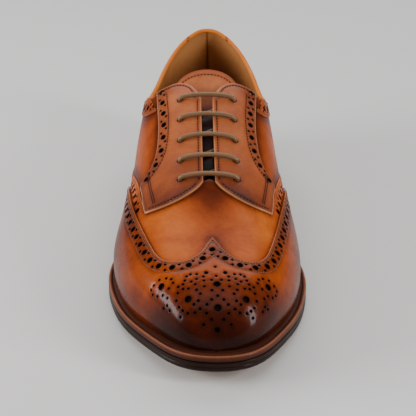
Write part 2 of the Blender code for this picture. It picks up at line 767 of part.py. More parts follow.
def build_laces(material):
    under = INNER_FACE - LACE_SLACK - LACE_RADIUS
    route = []
    for row in range(len(EYELET_AT)):
        left, right = eyelet_place(row, -1), eyelet_place(row, 1)
        at = left[0]
        over_vamp = VAMP_STEP * ramp(at, FACING_RISES_FROM, FACING_RISES_TO)
        face = FACING_FACE + over_vamp
        bend = LACE_BEND / girth(at)
        arc = np.linspace(0, np.pi / 2, 3)
        rise = [(at, left[1] + bend * (1 - np.cos(a)), face + LACE_BEND * np.sin(a)) for a in arc]
        bar_lift = face + LACE_BEND + PANEL_GAP
        bar = [(at, left[1] + (right[1] - left[1]) * share, bar_lift) for share in (0.3, 0.5, 0.7)]
        fall = [(at, -place, lift) for _, place, lift in reversed(rise)]
        fan = [(bend * (1 - np.cos(a)), under + LACE_BEND * (1 - np.sin(a))) for a in arc]
        dive = [(at, right[1] - inwards, lift) for inwards, lift in fan]
        climb = [(place[0], -place[1], place[2]) for place in reversed(dive)]
        if row:
            before = np.array(route[-1])
            route += [tuple(before + (np.array(climb[0]) - before) * share) for share in (0.25, 0.5, 0.75)]
            route += climb
        else:
            route += climb[-1:]
        route += rise + bar + fall
        route += dive if row < len(EYELET_AT) - 1 else dive[:1]
    route = np.array(route)
    points = skin(turn(route[:, 0]), route[:, 1], route[:, 2])
    return tube_solid("laces", points, np.full(len(points), LACE_RADIUS), 6, material)


# Sole
def plate_solid(levels):
    """Points and faces of a plate from its levels, bottom up.

    Each level is an array of rows by 2 sides by 3 coordinates, and the first and last rows
    may come to a point.
    """
    count = levels[0].shape[0]
    loops = [np.concatenate([level[:, 0], level[::-1, 1]]) for level in levels]
    ring = len(loops[0])
    points = np.concatenate(loops)
    faces = []
    for layer in range(len(levels) - 1):
        faces += ring_faces(layer * ring, (layer + 1) * ring, ring)
    top = (len(levels) - 1) * ring
    for row in range(count - 1):
        mate, mate_after = ring - 1 - row, ring - 2 - row
        faces.append((row, mate, mate_after, row + 1))
        faces.append((top + row, top + row + 1, top + mate_after, top + mate))
    return points, faces


def add_closed(name, points, faces, material):
    """Object from faces with doubled corners joined and all faces turned outwards."""
    weld = 1e-6
    keys = np.round(points / weld).astype(int)
    _, kept, joined = np.unique(keys, axis=0, return_index=True, return_inverse=True)
    joined = joined.reshape(-1)
    clean = []
    for face in faces:
        corners = [int(joined[corner]) for corner in face]
        corners = [corner for place, corner in enumerate(corners) if corner != corners[place - 1]]
        if len(corners) > 2:
            clean.append(tuple(corners))
    made = add_object(name, points[kept], clean, material)
    work = bmesh.new()
    work.from_mesh(made.data)
    bmesh.ops.recalc_face_normals(work, faces=work.faces)
    work.to_mesh(made.data)
    work.free()
    return made


def sole_level(turns, inset, height):
    """Pairs of edge points of one level of the sole, with heights from a function of y."""
    level = np.zeros((len(turns), 2, 3))
    for place, side in enumerate((-1, 1)):
        level[:, place, :2] = sole_edge(turns, side, inset)
        level[:, place, 2] = height(level[:, place, 1])
    ends = [row for row in (0, -1) if turns[row] in (0.0, 1.0)]
    for row in ends:
        level[row, 1] = level[row, 0]
    return level


def under_sole(rise):
    """Height function of a level that follows the sole's underside, rise above it."""
    return lambda y: underside(y) + rise


def level_at(height):
    """Height function of a flat level."""
    return lambda y: np.full(np.shape(y), height)


def sole_turns(count):
    turns = np.linspace(0, 1, count)
    tread = turn(np.array([TREAD_FROM, TREAD_TO]))
    return np.unique(np.concatenate([turns, tread]))


def build_outsole(material):
    turns = sole_turns(43)
    top = OUTSOLE_THICK - PANEL_GAP
    levels = [
        sole_level(turns, 2 * EDGE_BEVEL, underside),
        sole_level(turns, 0.0, under_sole(1.6 * EDGE_BEVEL)),
        sole_level(turns, 0.3 * EDGE_BEVEL, under_sole(top)),
    ]
    points, faces = plate_solid(levels)
    return add_closed("outsole", points, faces, material)


def loop_points(turns, inset, height):
    level = sole_level(turns, inset, height)
    return np.concatenate([level[:, 0], level[-2:0:-1, 1]])


def build_welt(material):
    turns = np.linspace(0, 1, 35)
    lower = OUTSOLE_THICK
    upper = OUTSOLE_THICK + WELT_THICK - PANEL_GAP
    inner = WELT_SHOWN + WELT_SEAT
    loops = [
        loop_points(turns, inner, under_sole(lower)),
        loop_points(turns, 0.0, under_sole(lower)),
        loop_points(turns, 0.0, under_sole(upper - EDGE_BEVEL)),
        loop_points(turns, EDGE_BEVEL, under_sole(upper)),
        loop_points(turns, inner, under_sole(upper)),
    ]
    ring = len(loops[0])
    points = np.concatenate(loops)
    faces = []
    for layer in range(len(loops)):
        faces += ring_faces(layer * ring, (layer + 1) % len(loops) * ring, ring)
    return add_closed("welt", points, faces, material)


def heel_level(inset, height):
    turns = np.linspace(0, turn(BREAST_AT), 12)
    level = sole_level(turns, inset, height)
    pairs = np.zeros((len(turns), 3, 3))
    pairs[:, 0], pairs[:, 2] = level[:, 0], level[:, 1]
    pairs[:, 1] = (level[:, 0] + level[:, 1]) / 2
    hollow = BREAST_CURVE * ramp(length_share(turns), 0.5 * BREAST_AT, BREAST_AT)
    pairs[:, 1, 1] += hollow
    pairs[:, 1, 2] = height(pairs[:, 1, 1])
    return pairs


def build_heel_block(name, low_inset, high_inset, low, high, material):
    """Block with the heel's outline, from its back to the hollow breast."""
    levels = [heel_level(low_inset, low), heel_level(high_inset, high)]
    rows = len(levels[0])
    points = np.concatenate([level.reshape(-1, 3) for level in levels])
    top = rows * 3
    faces = []
    for row in range(rows - 1):
        for column in range(2):
            corner = row * 3 + column
            faces.append((corner, corner + 1, corner + 4, corner + 3))
            faces.append((top + corner, top + corner + 3, top + corner + 4, top + corner + 1))
    lateral_edge = [row * 3 for row in range(rows)]
    medial_edge = [row * 3 + 2 for row in reversed(range(rows))]
    border = [*lateral_edge, rows * 3 - 2, *medial_edge]
    for place, corner in enumerate(border):
        after = border[(place + 1) % len(border)]
        faces.append((corner, after, top + after, top + corner))
    return add_closed(name, points, faces, material)


def build_insole(material):
    turns = np.linspace(0, 1, 33)
    share = length_share(turns)
    shown = welt_shown(share) * rising(turns, 0.3)
    end = np.where(share > 0.5, TOE_EXTENSION, HEEL_EXTENSION) * (1 - rising(turns, 0.3))
    inset = shown + end - INNER_FACE + INSOLE_CLEARANCE
    levels = [
        sole_level(turns, inset, feather_height),
        sole_level(turns, inset, under_sole(OUTSOLE_THICK + WELT_THICK + INSOLE_THICK)),
    ]
    points, faces = plate_solid(levels)
    return add_closed("insole", points, faces, material)


# Brogue holes and eyelets
def punch_cutter(name, places, radius, sides):
    """One guide mesh of straight punches standing square to the skin."""
    points, faces = [], []
    angles = np.linspace(0, 2 * np.pi, sides, endpoint=False) + np.pi / sides
    for t, w in places:
        foot = skin(t, w, -PUNCH_REACH)
        head = skin(t, w, PUNCH_REACH)
        axis = (head - foot) / np.linalg.norm(head - foot)
        across = np.cross(axis, (0.0, 1.0, 0.0))
        across /= np.linalg.norm(across)
        third = np.cross(axis, across)
        first = len(points)
        for centre in (foot, head):
            for angle in angles:
                points.append(centre + radius * (across * np.cos(angle) + third * np.sin(angle)))
        faces += ring_faces(first, first + sides, sides)
        faces.append(tuple(first + place for place in reversed(range(sides))))
        faces.append(tuple(first + sides + place for place in range(sides)))
    mesh = bpy.data.meshes.new(name)
    mesh.from_pydata([tuple(map(float, point)) for point in points], [], faces)
    cutter = bpy.data.objects.new(name, mesh)
    bpy.context.scene.collection.objects.link(cutter)
    cutter.hide_render = True
    cutter.display_type = "WIRE"
    return cutter


def punch(target, cutter):
    cut = target.modifiers.new("punch", "BOOLEAN")
    cut.operation = "DIFFERENCE"
    cut.solver = "EXACT"
    cut.object = cutter


def move_across(curve, distance):
    """Pattern curve moved sideways over the skin: to the left of its run, seen from outside."""
    t, w = curve[:, 0], curve[:, 1]
    step = 0.002
    places = skin(t, w)
    per_t = (skin(t + step, w) - skin(t - step, w)) / (2 * step)
    per_w = (skin(t, w + step) - skin(t, w - step)) / (2 * step)
    along = np.gradient(places, axis=0)
    sideways = np.cross(np.cross(per_t, per_w), along)
    sideways *= distance / np.linalg.norm(sideways, axis=1, keepdims=True)
    tt, tw, ww = np.sum(per_t ** 2, 1), np.sum(per_t * per_w, 1), np.sum(per_w ** 2, 1)
    push_t, push_w = np.sum(per_t * sideways, 1), np.sum(per_w * sideways, 1)
    spread = tt * ww - tw ** 2
    moved_t = t + (ww * push_t - tw * push_w) / spread
    moved_w = w + (tt * push_w - tw * push_t) / spread
    return np.stack([moved_t, moved_w], -1)


def brogue_places(edge, inset, pitch):
    """Places of large holes along an edge, inset from it and pitch apart."""
    line = move_across(edge, inset)
    points = skin(line[:, 0], line[:, 1])
    travelled = np.concatenate([[0.0], np.cumsum(np.linalg.norm(np.diff(points, axis=0), axis=1))])
    marks = (np.arange(int(travelled[-1] // pitch)) + 0.5) * pitch
    return list(zip(np.interp(marks, travelled, line[:, 0]), np.interp(marks, travelled, line[:, 1])))


def medallion_places():
    """Places of the medallion's large holes, mirrored about the ridge of the toe."""
    places = []
    for at, across in MEDALLION_ROWS:
        share = across * BALL_WIDTH / girth(at)
        places += [(turn(at), share * side) for side in ((-1, 1) if across else (1,))]
    return places


def main():
    tan = colour_material("tan_calf", (0.50, 0.19, 0.055), 0.36)
    facing_calf = colour_material("facing_calf", (0.47, 0.20, 0.09), 0.40)
    burnished = colour_material("burnished_calf", (0.30, 0.075, 0.025), 0.28)
    lining = colour_material("lining_leather", (0.55, 0.33, 0.14), 0.55)
    edge_brown = colour_material("edge_brown", (0.12, 0.035, 0.02), 0.35)
    edge_dark = colour_material("edge_dark", (0.035, 0.015, 0.012), 0.40)
    rubber = colour_material("top_piece_rubber", (0.02, 0.018, 0.016), 0.70)
    cotton = colour_material("waxed_cotton", (0.20, 0.13, 0.07), 0.60)

    build_outsole(edge_dark)
    build_welt(edge_brown)
    piece_top = level_at(TOP_PIECE_THICK)
    build_heel_block("heel_top_piece", HEEL_INSET, HEEL_INSET, level_at(0.0), piece_top, rubber)
    lift_foot = level_at(TOP_PIECE_THICK + PANEL_GAP)
    build_heel_block("heel_lifts", HEEL_INSET, 0.0, lift_foot, under_sole(-PANEL_GAP), edge_dark)
    build_insole(lining)
    upper = build_upper(tan)
    build_tongue(tan)
    wing_cap = build_wing_cap(burnished)
    facing_lateral = build_facing("facing_lateral", -1, facing_calf)
    facing_medial = build_facing("facing_medial", 1, facing_calf)
    build_collar_band("collar_band_lateral", -1, tan)
    build_collar_band("collar_band_medial", 1, tan)
    build_backstay(tan)
    build_collar_roll(tan)
    build_laces(cotton)

    medallion = punch_cutter("medallion_punch", medallion_places(), MEDALLION_RADIUS, 6)
    punch(wing_cap, medallion)
    for side, facing in ((-1, facing_lateral), (1, facing_medial)):
        eyelets = [(turn(at), w) for at, w in (eyelet_place(row, side) for row in range(len(EYELET_AT)))]
        eyelet_punch = punch_cutter("eyelet_punch", eyelets, EYELET_RADIUS, 8)
        punch(upper, eyelet_punch)
        punch(facing, eyelet_punch)
        band_edge = pattern_curve(FACING_OUTER_ROWS[:8], 24, side)
        holes = brogue_places(band_edge, -side * BROGUE_INSET, BROGUE_PITCH)
        punch(facing, punch_cutter("facing_punch", holes, BROGUE_RADIUS, 6))
        tail = [row for row in WING_ROWS if row[0] > BROGUE_STOPS]
        holes = brogue_places(pattern_curve(tail, 40, side), -side * BROGUE_INSET, BROGUE_PITCH)
        punch(wing_cap, punch_cutter("wing_punch", holes, BROGUE_RADIUS, 6))


main()
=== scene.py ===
"""Right brogue derby shoe in tan calf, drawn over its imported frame.

A place on the upper is named by two numbers. t is the half turn share from heel (0) to toe
(1), and w is the signed share of the girth: -1 at the lateral feather edge, 0 on the ridge
over the instep and 1 at the medial feather edge. Lengths are in metres.
"""
import bpy
import numpy as np
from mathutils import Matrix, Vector
from mathutils.geometry import delaunay_2d_cdt


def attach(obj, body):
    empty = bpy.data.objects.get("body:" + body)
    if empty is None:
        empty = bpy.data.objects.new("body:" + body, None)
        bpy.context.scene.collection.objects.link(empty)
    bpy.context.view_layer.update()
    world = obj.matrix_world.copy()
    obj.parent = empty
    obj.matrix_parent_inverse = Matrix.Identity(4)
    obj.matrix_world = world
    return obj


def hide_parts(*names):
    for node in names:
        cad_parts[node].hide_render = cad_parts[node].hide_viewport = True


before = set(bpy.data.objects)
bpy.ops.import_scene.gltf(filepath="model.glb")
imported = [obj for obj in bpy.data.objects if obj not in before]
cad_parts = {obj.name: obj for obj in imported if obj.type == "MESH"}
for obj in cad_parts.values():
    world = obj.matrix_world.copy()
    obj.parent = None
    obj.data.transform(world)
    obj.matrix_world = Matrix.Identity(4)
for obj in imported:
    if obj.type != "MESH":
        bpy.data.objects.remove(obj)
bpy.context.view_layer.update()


# The insole is a flat board of firm leather with a thin sock glued on it. It carries the
# whole upper, so the plan outline, the side profile and the sections of the last come first.
SHOE_LENGTH = 0.306
BALL_WIDTH = 0.114
INSTEP_HEIGHT = 0.110
HEEL_HEIGHT = 0.026
TOE_SPRING = 0.0085
OUTSOLE_THICK = 0.0060
WELT_THICK = 0.0040
WELT_SHOWN = 0.0048
TOE_EXTENSION = 0.0048
HEEL_EXTENSION = 0.0022
HEEL_END_RADIUS = 0.031
TOE_END_RADIUS = 0.046
TOE_RISE_RADIUS = 0.030
FEATHER_RISE = 0.012
INSOLE_THICK = 0.0030
BACK_REACH = 0.245
TREAD_FROM, TREAD_TO = 0.62, 0.68
SOLE_ROWS = (
    (0.000, 0.000, None, 0.42), (0.060, 0.000, 0.232, 0.46), (0.130, 0.000, 0.288, 0.46),
    (0.220, -0.002, 0.304, 0.50), (0.320, -0.007, 0.314, 0.58), (0.420, -0.010, 0.350, 0.71),
    (0.520, -0.010, 0.416, 0.83), (0.600, -0.006, 0.469, 0.92), (0.678, 0.000, 0.500, 1.00),
    (0.760, 0.009, 0.476, 1.00), (0.840, 0.019, 0.411, 1.00), (0.910, 0.033, 0.314, 1.00),
    (0.960, 0.042, 0.226, 1.00), (1.000, 0.044, None, 1.00),
)
SIDE_ROWS = (
    (0.00, 1.020, 0.00), (0.14, 1.000, 0.00), (0.26, 0.985, 0.00), (0.36, 0.720, 0.00),
    (0.46, 0.320, 0.00), (0.56, 0.045, 0.00), (0.62, 0.000, 0.00), (0.68, 0.000, 0.00),
    (0.74, 0.000, 0.02), (0.82, 0.000, 0.18), (0.91, 0.000, 0.54), (1.00, 0.000, 1.00),
)
UPPER_ROWS = (
    (0.00, 0.026, 0.026, 1.020, 0.000, 2.10), (0.12, 0.030, 0.030, 1.040, 0.000, 2.20),
    (0.25, 0.051, 0.051, 1.045, 0.004, 2.70), (0.36, 0.070, 0.074, 1.000, 0.010, 2.95),
    (0.44, 0.066, 0.072, 0.925, 0.011, 2.65), (0.52, 0.032, 0.048, 0.835, 0.012, 2.30),
    (0.60, 0.008, 0.022, 0.730, 0.014, 2.05), (0.68, 0.007, 0.004, 0.620, 0.014, 1.98),
    (0.76, 0.014, 0.010, 0.530, 0.014, 2.12), (0.84, 0.021, 0.019, 0.470, 0.014, 2.32),
    (0.90, 0.023, 0.023, 0.432, 0.014, 2.40), (0.95, 0.023, 0.023, 0.385, 0.014, 2.40),
    (1.00, 0.023, 0.023, None, 0.014, 2.30),
)
BACK_ROWS = (
    (0.000, 0.0000), (0.109, 0.0072), (0.218, 0.0098), (0.364, 0.0026), (0.509, -0.0163),
    (0.682, -0.0425), (0.909, -0.0817),
)


def spline(places, values):
    """Natural cubic spline: between two rows, a straight line plus a cubic that bends it."""
    x = np.asarray(places, float)
    y = np.asarray(values, float)
    step = np.diff(x)
    rows = len(x)
    matrix = np.eye(rows)
    right = np.zeros(rows)
    for row in range(1, rows - 1):
        matrix[row, row - 1:row + 2] = step[row - 1], 2 * (step[row - 1] + step[row]), step[row]
        right[row] = 6 * ((y[row + 1] - y[row]) / step[row] - (y[row] - y[row - 1]) / step[row - 1])
    bend = np.linalg.solve(matrix, right)

    def value(at):
        place = np.asarray(at, float)
        left = np.clip(np.searchsorted(x, place) - 1, 0, rows - 2)
        width = step[left]
        before = (x[left + 1] - place) / width
        after = 1 - before
        curve = (before ** 3 - before) * bend[left] + (after ** 3 - after) * bend[left + 1]
        return before * y[left] + after * y[left + 1] + curve * width ** 2 / 6

    return value


def column_of(rows, number, scale=1.0):
    """One column of a table of rows, times a scale."""
    return [scale * row[number] for row in rows]


def turn(at):
    """Half turn share: the angle whose cosine is one less twice the share of length, by pi."""
    return np.arccos(1 - 2 * np.clip(at, 0, 1)) / np.pi


def length_share(t):
    """Share of the length: half of one less the cosine of the half turn."""
    return (1 - np.cos(np.pi * np.asarray(t))) / 2


def ramp(value, low, high):
    """Smooth step: three times the square less twice the cube of the clipped share."""
    share = np.clip((np.asarray(value) - low) / (high - low), 0, 1)
    return share * share * (3 - 2 * share)


def bell(value, width):
    """Bell: e to the power of minus the square of the value over the width."""
    return np.exp(-(value / width) ** 2)


def rising(t, share):
    """Wave of the half turn over the root of its square plus the square of a share."""
    wave = np.sin(np.pi * np.asarray(t))
    return wave / np.sqrt(wave ** 2 + share ** 2)


sole_at = column_of(SOLE_ROWS, 0)
sole_turn = [float(turn(at)) for at in sole_at]
end_fullness = [np.sqrt(radius * SHOE_LENGTH / 2) for radius in (HEEL_END_RADIUS, TOE_END_RADIUS)]
sole_inner = list(zip(SOLE_ROWS, sole_turn))[1:-1]
side_fullness = [BALL_WIDTH * row[2] / np.sin(np.pi * t) for row, t in sole_inner]
sole_fullness = spline(sole_turn, [end_fullness[0], *side_fullness, end_fullness[1]])
sole_middle = spline(sole_at, column_of(SOLE_ROWS, 1, BALL_WIDTH))
welt_shown = spline(sole_at, column_of(SOLE_ROWS, 3, WELT_SHOWN))
side_heights = [HEEL_HEIGHT * row[1] + TOE_SPRING * row[2] for row in SIDE_ROWS]
side_profile = spline(column_of(SIDE_ROWS, 0), side_heights)


def underside(y):
    """Height of the tread: 0 between its two limits, the side profile's spline elsewhere."""
    at = 0.5 - np.asarray(y) / SHOE_LENGTH
    flat = (at > TREAD_FROM) & (at < TREAD_TO)
    return np.where(flat, 0.0, np.maximum(side_profile(at), 0.0))


def unit(vectors):
    """Vectors divided by their own lengths."""
    return vectors / np.maximum(np.linalg.norm(vectors, axis=-1, keepdims=True), 1e-12)


def sole_edge(t, side, inset=0.0):
    """Plan outline: the middle line plus or minus the sine of the half turn times a fullness,
    moved in by inset square to its own direction."""

    def outline(share):
        at = length_share(share)
        x = sole_middle(at) + side * np.sin(np.pi * share) * sole_fullness(share)
        return np.stack([x, SHOE_LENGTH * (0.5 - at)], -1)

    step = 0.001
    along = unit(outline(np.clip(t + step, 0, 1)) - outline(np.clip(t - step, 0, 1)))
    inward = np.stack([-side * np.abs(along[..., 1]), side * np.sign(along[..., 1]) * along[..., 0]], -1)
    return outline(t) + inward * np.asarray(inset)[..., None]


upper_at = column_of(UPPER_ROWS, 0)
upper_turn = [float(turn(at)) for at in upper_at]
LAST_HEEL = SHOE_LENGTH / 2 - HEEL_EXTENSION
LAST_LENGTH = SHOE_LENGTH - HEEL_EXTENSION - TOE_EXTENSION
lateral_swell = spline(upper_at, column_of(UPPER_ROWS, 1, BALL_WIDTH))
medial_swell = spline(upper_at, column_of(UPPER_ROWS, 2, BALL_WIDTH))
ridge_place = spline(upper_at, column_of(UPPER_ROWS, 4, BALL_WIDTH))
squareness = spline(upper_at, column_of(UPPER_ROWS, 5))
back_line = spline(column_of(BACK_ROWS, 0, INSTEP_HEIGHT), column_of(BACK_ROWS, 1, SHOE_LENGTH))


def feather_height(y):
    """The tread's height plus the outsole and the welt."""
    return underside(y) + OUTSOLE_THICK + WELT_THICK


ridge_rises = []
for at, *_, share, _, _ in UPPER_ROWS[:-1]:
    ridge_rise = INSTEP_HEIGHT * share - feather_height(LAST_HEEL - at * LAST_LENGTH)
    ridge_rises.append(float(ridge_rise / np.sqrt(1 - at)))
ridge_fullness = spline(upper_turn, [*ridge_rises, np.sqrt(2 * TOE_RISE_RADIUS * LAST_LENGTH)])


def section_point(t, side, q):
    """Skin of one side. Up to q = 1 the wall is a parabola over the feather edge. From 1 to 2
    it is a superellipse quarter that ends on the ridge. Near the heel it leans with the back."""
    at = length_share(t)
    y = LAST_HEEL - at * LAST_LENGTH
    middle = sole_middle(at)
    half = np.sin(np.pi * t) * sole_fullness(t) - welt_shown(at) * rising(t, 0.3)
    height = np.sqrt(np.clip(1 - at, 0, 1)) * ridge_fullness(t)
    stand_out = np.where(side < 0, lateral_swell(at), medial_swell(at)) * rising(t, 0.22)
    rise = FEATHER_RISE * height / (height + 1.2 * FEATHER_RISE)
    power = squareness(at)
    ridge_x = middle + ridge_place(at) * rising(t, 0.5)
    low = np.clip(q, 0, 1) - 1
    angle = np.clip(q - 1, 0, 1) * np.pi / 2
    cosine, sine = np.abs(np.cos(angle)), np.abs(np.sin(angle))
    radius = (cosine ** power + sine ** power) ** (-1 / power)
    x_low = middle + side * (half + stand_out * (1 - low ** 2))
    x_high = ridge_x + (middle + side * (half + stand_out) - ridge_x) * radius * cosine
    x = np.where(q < 1, x_low, x_high)
    z = np.where(q < 1, rise * (1 + low), rise + (height - rise) * radius * sine)
    near_back = ramp(y, LAST_HEEL - BACK_REACH * SHOE_LENGTH, LAST_HEEL)
    return np.stack([x, y + back_line(z) * near_back, z + feather_height(y)], -1)


girth_turns = np.linspace(0, 1, 401)
girth_shares = np.linspace(0, 1, 201)
fine_places = np.linspace(0, 2, 401)
girth_places, girth_lengths = {}, {}
for flank in (-1, 1):
    arcs = section_point(girth_turns[:, None], flank, fine_places[None, :])
    travelled = np.zeros(arcs.shape[:2])
    travelled[:, 1:] = np.cumsum(np.linalg.norm(np.diff(arcs, axis=1), axis=2), axis=1)
    girth_lengths[flank] = travelled[:, -1].copy()
    travelled[-1] = travelled[-2]
    girth_places[flank] = np.array([
        np.interp(girth_shares, row / row[-1], fine_places) for row in travelled
    ])


def skin(t, w, lift=0.0):
    """The section's point at a share of its own girth, plus the lift times the unit normal,
    which is the cross product of the two central differences."""
    t, w, lift = np.broadcast_arrays(np.asarray(t, float), np.asarray(w, float), np.asarray(lift, float))

    def base(turns, places):
        side = np.where(places < 0, -1, 1)
        rows, columns = len(girth_turns), len(girth_shares)
        row = np.clip(turns * (rows - 1), 0, rows - 1.000001)
        column = (1 - np.abs(np.clip(places, -1, 1))) * (columns - 1)
        column = np.clip(column, 0, columns - 1.000001)
        i, j = row.astype(int), column.astype(int)
        u, v = row - i, column - j
        q = np.zeros(places.shape)
        for flank in (-1, 1):
            table = girth_places[flank]
            read = (1 - u) * ((1 - v) * table[i, j] + v * table[i, j + 1])
            read += u * ((1 - v) * table[i + 1, j] + v * table[i + 1, j + 1])
            q = np.where(side == flank, read, q)
        return section_point(turns, side, q)

    step = 0.002
    inner_t = np.clip(t, step, 1 - 2 * step)
    inner_w = np.clip(w, step - 1, 1 - step)
    normal = unit(np.cross(
        base(inner_t + step, inner_w) - base(inner_t - step, inner_w),
        base(inner_t, inner_w + step) - base(inner_t, inner_w - step),
    ))
    normal[t > 1 - step] = (0.0, -1.0, 0.0)
    return base(t, w) + normal * lift[..., None]


def fill(tree, node, inputs):
    """Gives each named input of a node a value, or a link from an output."""
    for socket, value in inputs.items():
        if isinstance(value, bpy.types.NodeSocket):
            tree.links.new(value, node.inputs[socket])
        else:
            node.inputs[socket].default_value = value


def add_node(tree, kind, inputs=None, **settings):
    """New shader node with its settings and its inputs."""
    node = tree.nodes.new("ShaderNode" + kind if not kind.startswith("Node") else kind)
    for setting, value in settings.items():
        setattr(node, setting, value)
    fill(tree, node, inputs or {})
    return node


def new_material(name):
    """Node material with its tree."""
    material = bpy.data.materials.new(name)
    material.use_nodes = True
    return material, material.node_tree


def leather_grain():
    """Node group: height is pores plus fine noise, blotch is broad noise, fine is specks."""
    group = bpy.data.node_groups.new("leather_grain", "ShaderNodeTree")
    for name, value in (("Grain Scale", 900.0), ("Blotch Scale", 30.0)):
        socket = group.interface.new_socket(name, in_out="INPUT", socket_type="NodeSocketFloat")
        socket.default_value = value
    for name in ("Height", "Blotch", "Fine"):
        group.interface.new_socket(name, in_out="OUTPUT", socket_type="NodeSocketFloat")
    scales = add_node(group, "NodeGroupInput").outputs
    place = add_node(group, "TexCoord").outputs["Object"]
    size = scales["Grain Scale"]
    pores = add_node(group, "TexVoronoi", {"Vector": place, "Scale": size}, feature="SMOOTH_F1")
    noise = add_node(group, "TexNoise", {"Vector": place, "Scale": size, "Detail": 4.0})
    layers = {0: pores.outputs["Distance"], 1: noise.outputs["Fac"]}
    height = add_node(group, "Math", layers, operation="ADD")
    broad = {"Scale": scales["Blotch Scale"], "Detail": 5.0, "Roughness": 0.62, "Distortion": 0.4}
    blotch = add_node(group, "TexNoise", {"Vector": place, **broad})
    speck = add_node(group, "TexNoise", {"Vector": place, "Scale": 420.0, "Detail": 2.0})
    results = {"Height": height.outputs[0], "Blotch": blotch.outputs["Fac"], "Fine": speck.outputs["Fac"]}
    add_node(group, "NodeGroupOutput", results)
    return group


GRAIN = leather_grain()
# Pale colour for the painted highlight along the edges of the panels.
EDGE_HIGHLIGHT = (0.46, 0.17, 0.070)
# Colour of the painted shade in holes, furrows and under covers, and of dark seam lines.
SHADE_AND_SEAM_COLOUR = (0.012, 0.005, 0.003, 1.0)


def leather(name, colours, gloss, coat, sheen=0.06, grain=0.10, blotch=0.30, edge=EDGE_HIGHLIGHT, scale=900.0):
    """Dyed leather. The tone attribute, which carries the dye's tone and painted shade, plus mottling
    walks through the dye's colours. The edge attribute paints a pale highlight along the edges, and
    a third attribute paints shade into holes, stitch furrows and under covering pieces, and darkens seam
    lines."""
    material, tree = new_material(name)
    group = add_node(tree, "Group", {"Grain Scale": scale}, node_tree=GRAIN)

    def attribute(label):
        return add_node(tree, "Attribute", attribute_name=label).outputs["Fac"]

    def math(operation, *values):
        return add_node(tree, "Math", dict(enumerate(values)), operation=operation).outputs[0]

    mottle = math("SUBTRACT", group.outputs["Blotch"], 0.5)
    speck = math("SUBTRACT", group.outputs["Fine"], 0.5)
    tone = math("MULTIPLY_ADD", mottle, blotch * 2, attribute("tone"))
    dye = add_node(tree, "ValToRGB", {"Fac": math("MULTIPLY_ADD", speck, 0.10, tone)})
    while len(dye.color_ramp.elements) < len(colours):
        dye.color_ramp.elements.new(0.5)
    for stop, (place, colour) in zip(dye.color_ramp.elements, colours):
        stop.position = place
        stop.color = (*colour, 1.0)
    # The edge attribute mixes in the painted edge highlight.
    highlighted = {"Factor": attribute("edge"), "A": dye.outputs["Color"], "B": (*edge, 1.0)}
    highlighted = add_node(tree, "Mix", highlighted, data_type="RGBA").outputs["Result"]
    # Painted shade in holes, stitch furrows and under covering pieces, and dark seam lines.
    darker = {"Factor": attribute("painted_shade_and_seams"), "A": highlighted, "B": SHADE_AND_SEAM_COLOUR}
    darker = add_node(tree, "Mix", darker, data_type="RGBA").outputs["Result"]
    limits = {"From Min": 0.3, "From Max": 0.7, "To Min": gloss - 0.06, "To Max": gloss + 0.08}
    rough = add_node(tree, "MapRange", {"Value": group.outputs["Blotch"], **limits}).outputs["Result"]
    bump = {"Strength": grain, "Distance": 0.0004, "Height": group.outputs["Height"]}
    fill(tree, tree.nodes["Principled BSDF"], {
        "Base Color": darker, "Roughness": math("MULTIPLY_ADD", attribute("painted_shade_and_seams"), 0.5, rough),
        "Normal": add_node(tree, "Bump", bump).outputs["Normal"],
        "Coat Weight": coat, "Coat Roughness": 0.16, "Specular IOR Level": sheen,
    })
    return material


def add_piece(name, points, faces, material, nodes, marks=(), places=None):
    """One piece from its points and faces, with point attributes and an optional UV map."""
    mesh = bpy.data.meshes.new(name)
    mesh.from_pydata(np.asarray(points).tolist(), [], faces if isinstance(faces, list) else faces.tolist())
    mesh.update()
    mesh.shade_smooth()
    mesh.set_sharp_from_angle(angle=np.radians(40))
    for label, values in dict(marks).items():
        values = np.asarray(values, np.float32)
        mesh.attributes.new(label, "FLOAT", "POINT").data.foreach_set("value", values)
    if places is not None:
        corner = np.zeros(len(mesh.loops), np.int32)
        mesh.loops.foreach_get("vertex_index", corner)
        along = np.asarray(places, np.float32)[corner].ravel()
        mesh.uv_layers.new(name="along").data.foreach_set("uv", along)
    mesh.materials.append(material)
    piece = bpy.data.objects.new(name, mesh)
    bpy.context.scene.collection.objects.link(piece)
    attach(piece, "root")
    if nodes:
        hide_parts(*nodes)
    return piece


def ring_quads(rings, count, closed=False):
    """Index array of the quads of a tube: ring by ring, place by place."""
    row = np.arange(rings if closed else rings - 1)[:, None]
    place = np.arange(count)[None, :]
    after, above = (place + 1) % count, (row + 1) % rings
    quads = row * count + place, row * count + after, above * count + after, above * count + place
    return np.stack(quads, -1).reshape(-1, 4)


def edge_loop(turns, inset, height):
    """Closed loop of the plan outline at an inset, its height a function of y."""
    lateral, medial = sole_edge(turns, -1, inset), sole_edge(turns, 1, inset)
    medial[0], medial[-1] = lateral[0], lateral[-1]
    loop = np.concatenate([lateral, medial[-2:0:-1]])
    return np.column_stack([loop, height(loop[:, 1])])


def over_sole(rise):
    """Height function that follows the tread, a rise above it."""
    return lambda y: underside(y) + rise


def plate(turns, levels):
    """Plate between levels of edge loops, bottom up. Each level is an inset and a height
    function, and both ends are closed by strips across the sole."""
    loops = [edge_loop(turns, inset, height) for inset, height in levels]
    count = len(loops[0])
    quads = ring_quads(len(loops), count)[:, ::-1]
    row = np.arange(len(turns) - 1)
    mate, mate_after = (count - row) % count, count - row - 1
    top = (len(loops) - 1) * count
    below = np.stack([row, row + 1, mate_after, mate], -1)
    faces = quads.tolist() + below.tolist() + (below[:, ::-1] + top).tolist()
    faces = [list(dict.fromkeys(face)) for face in faces]
    return np.concatenate(loops), faces


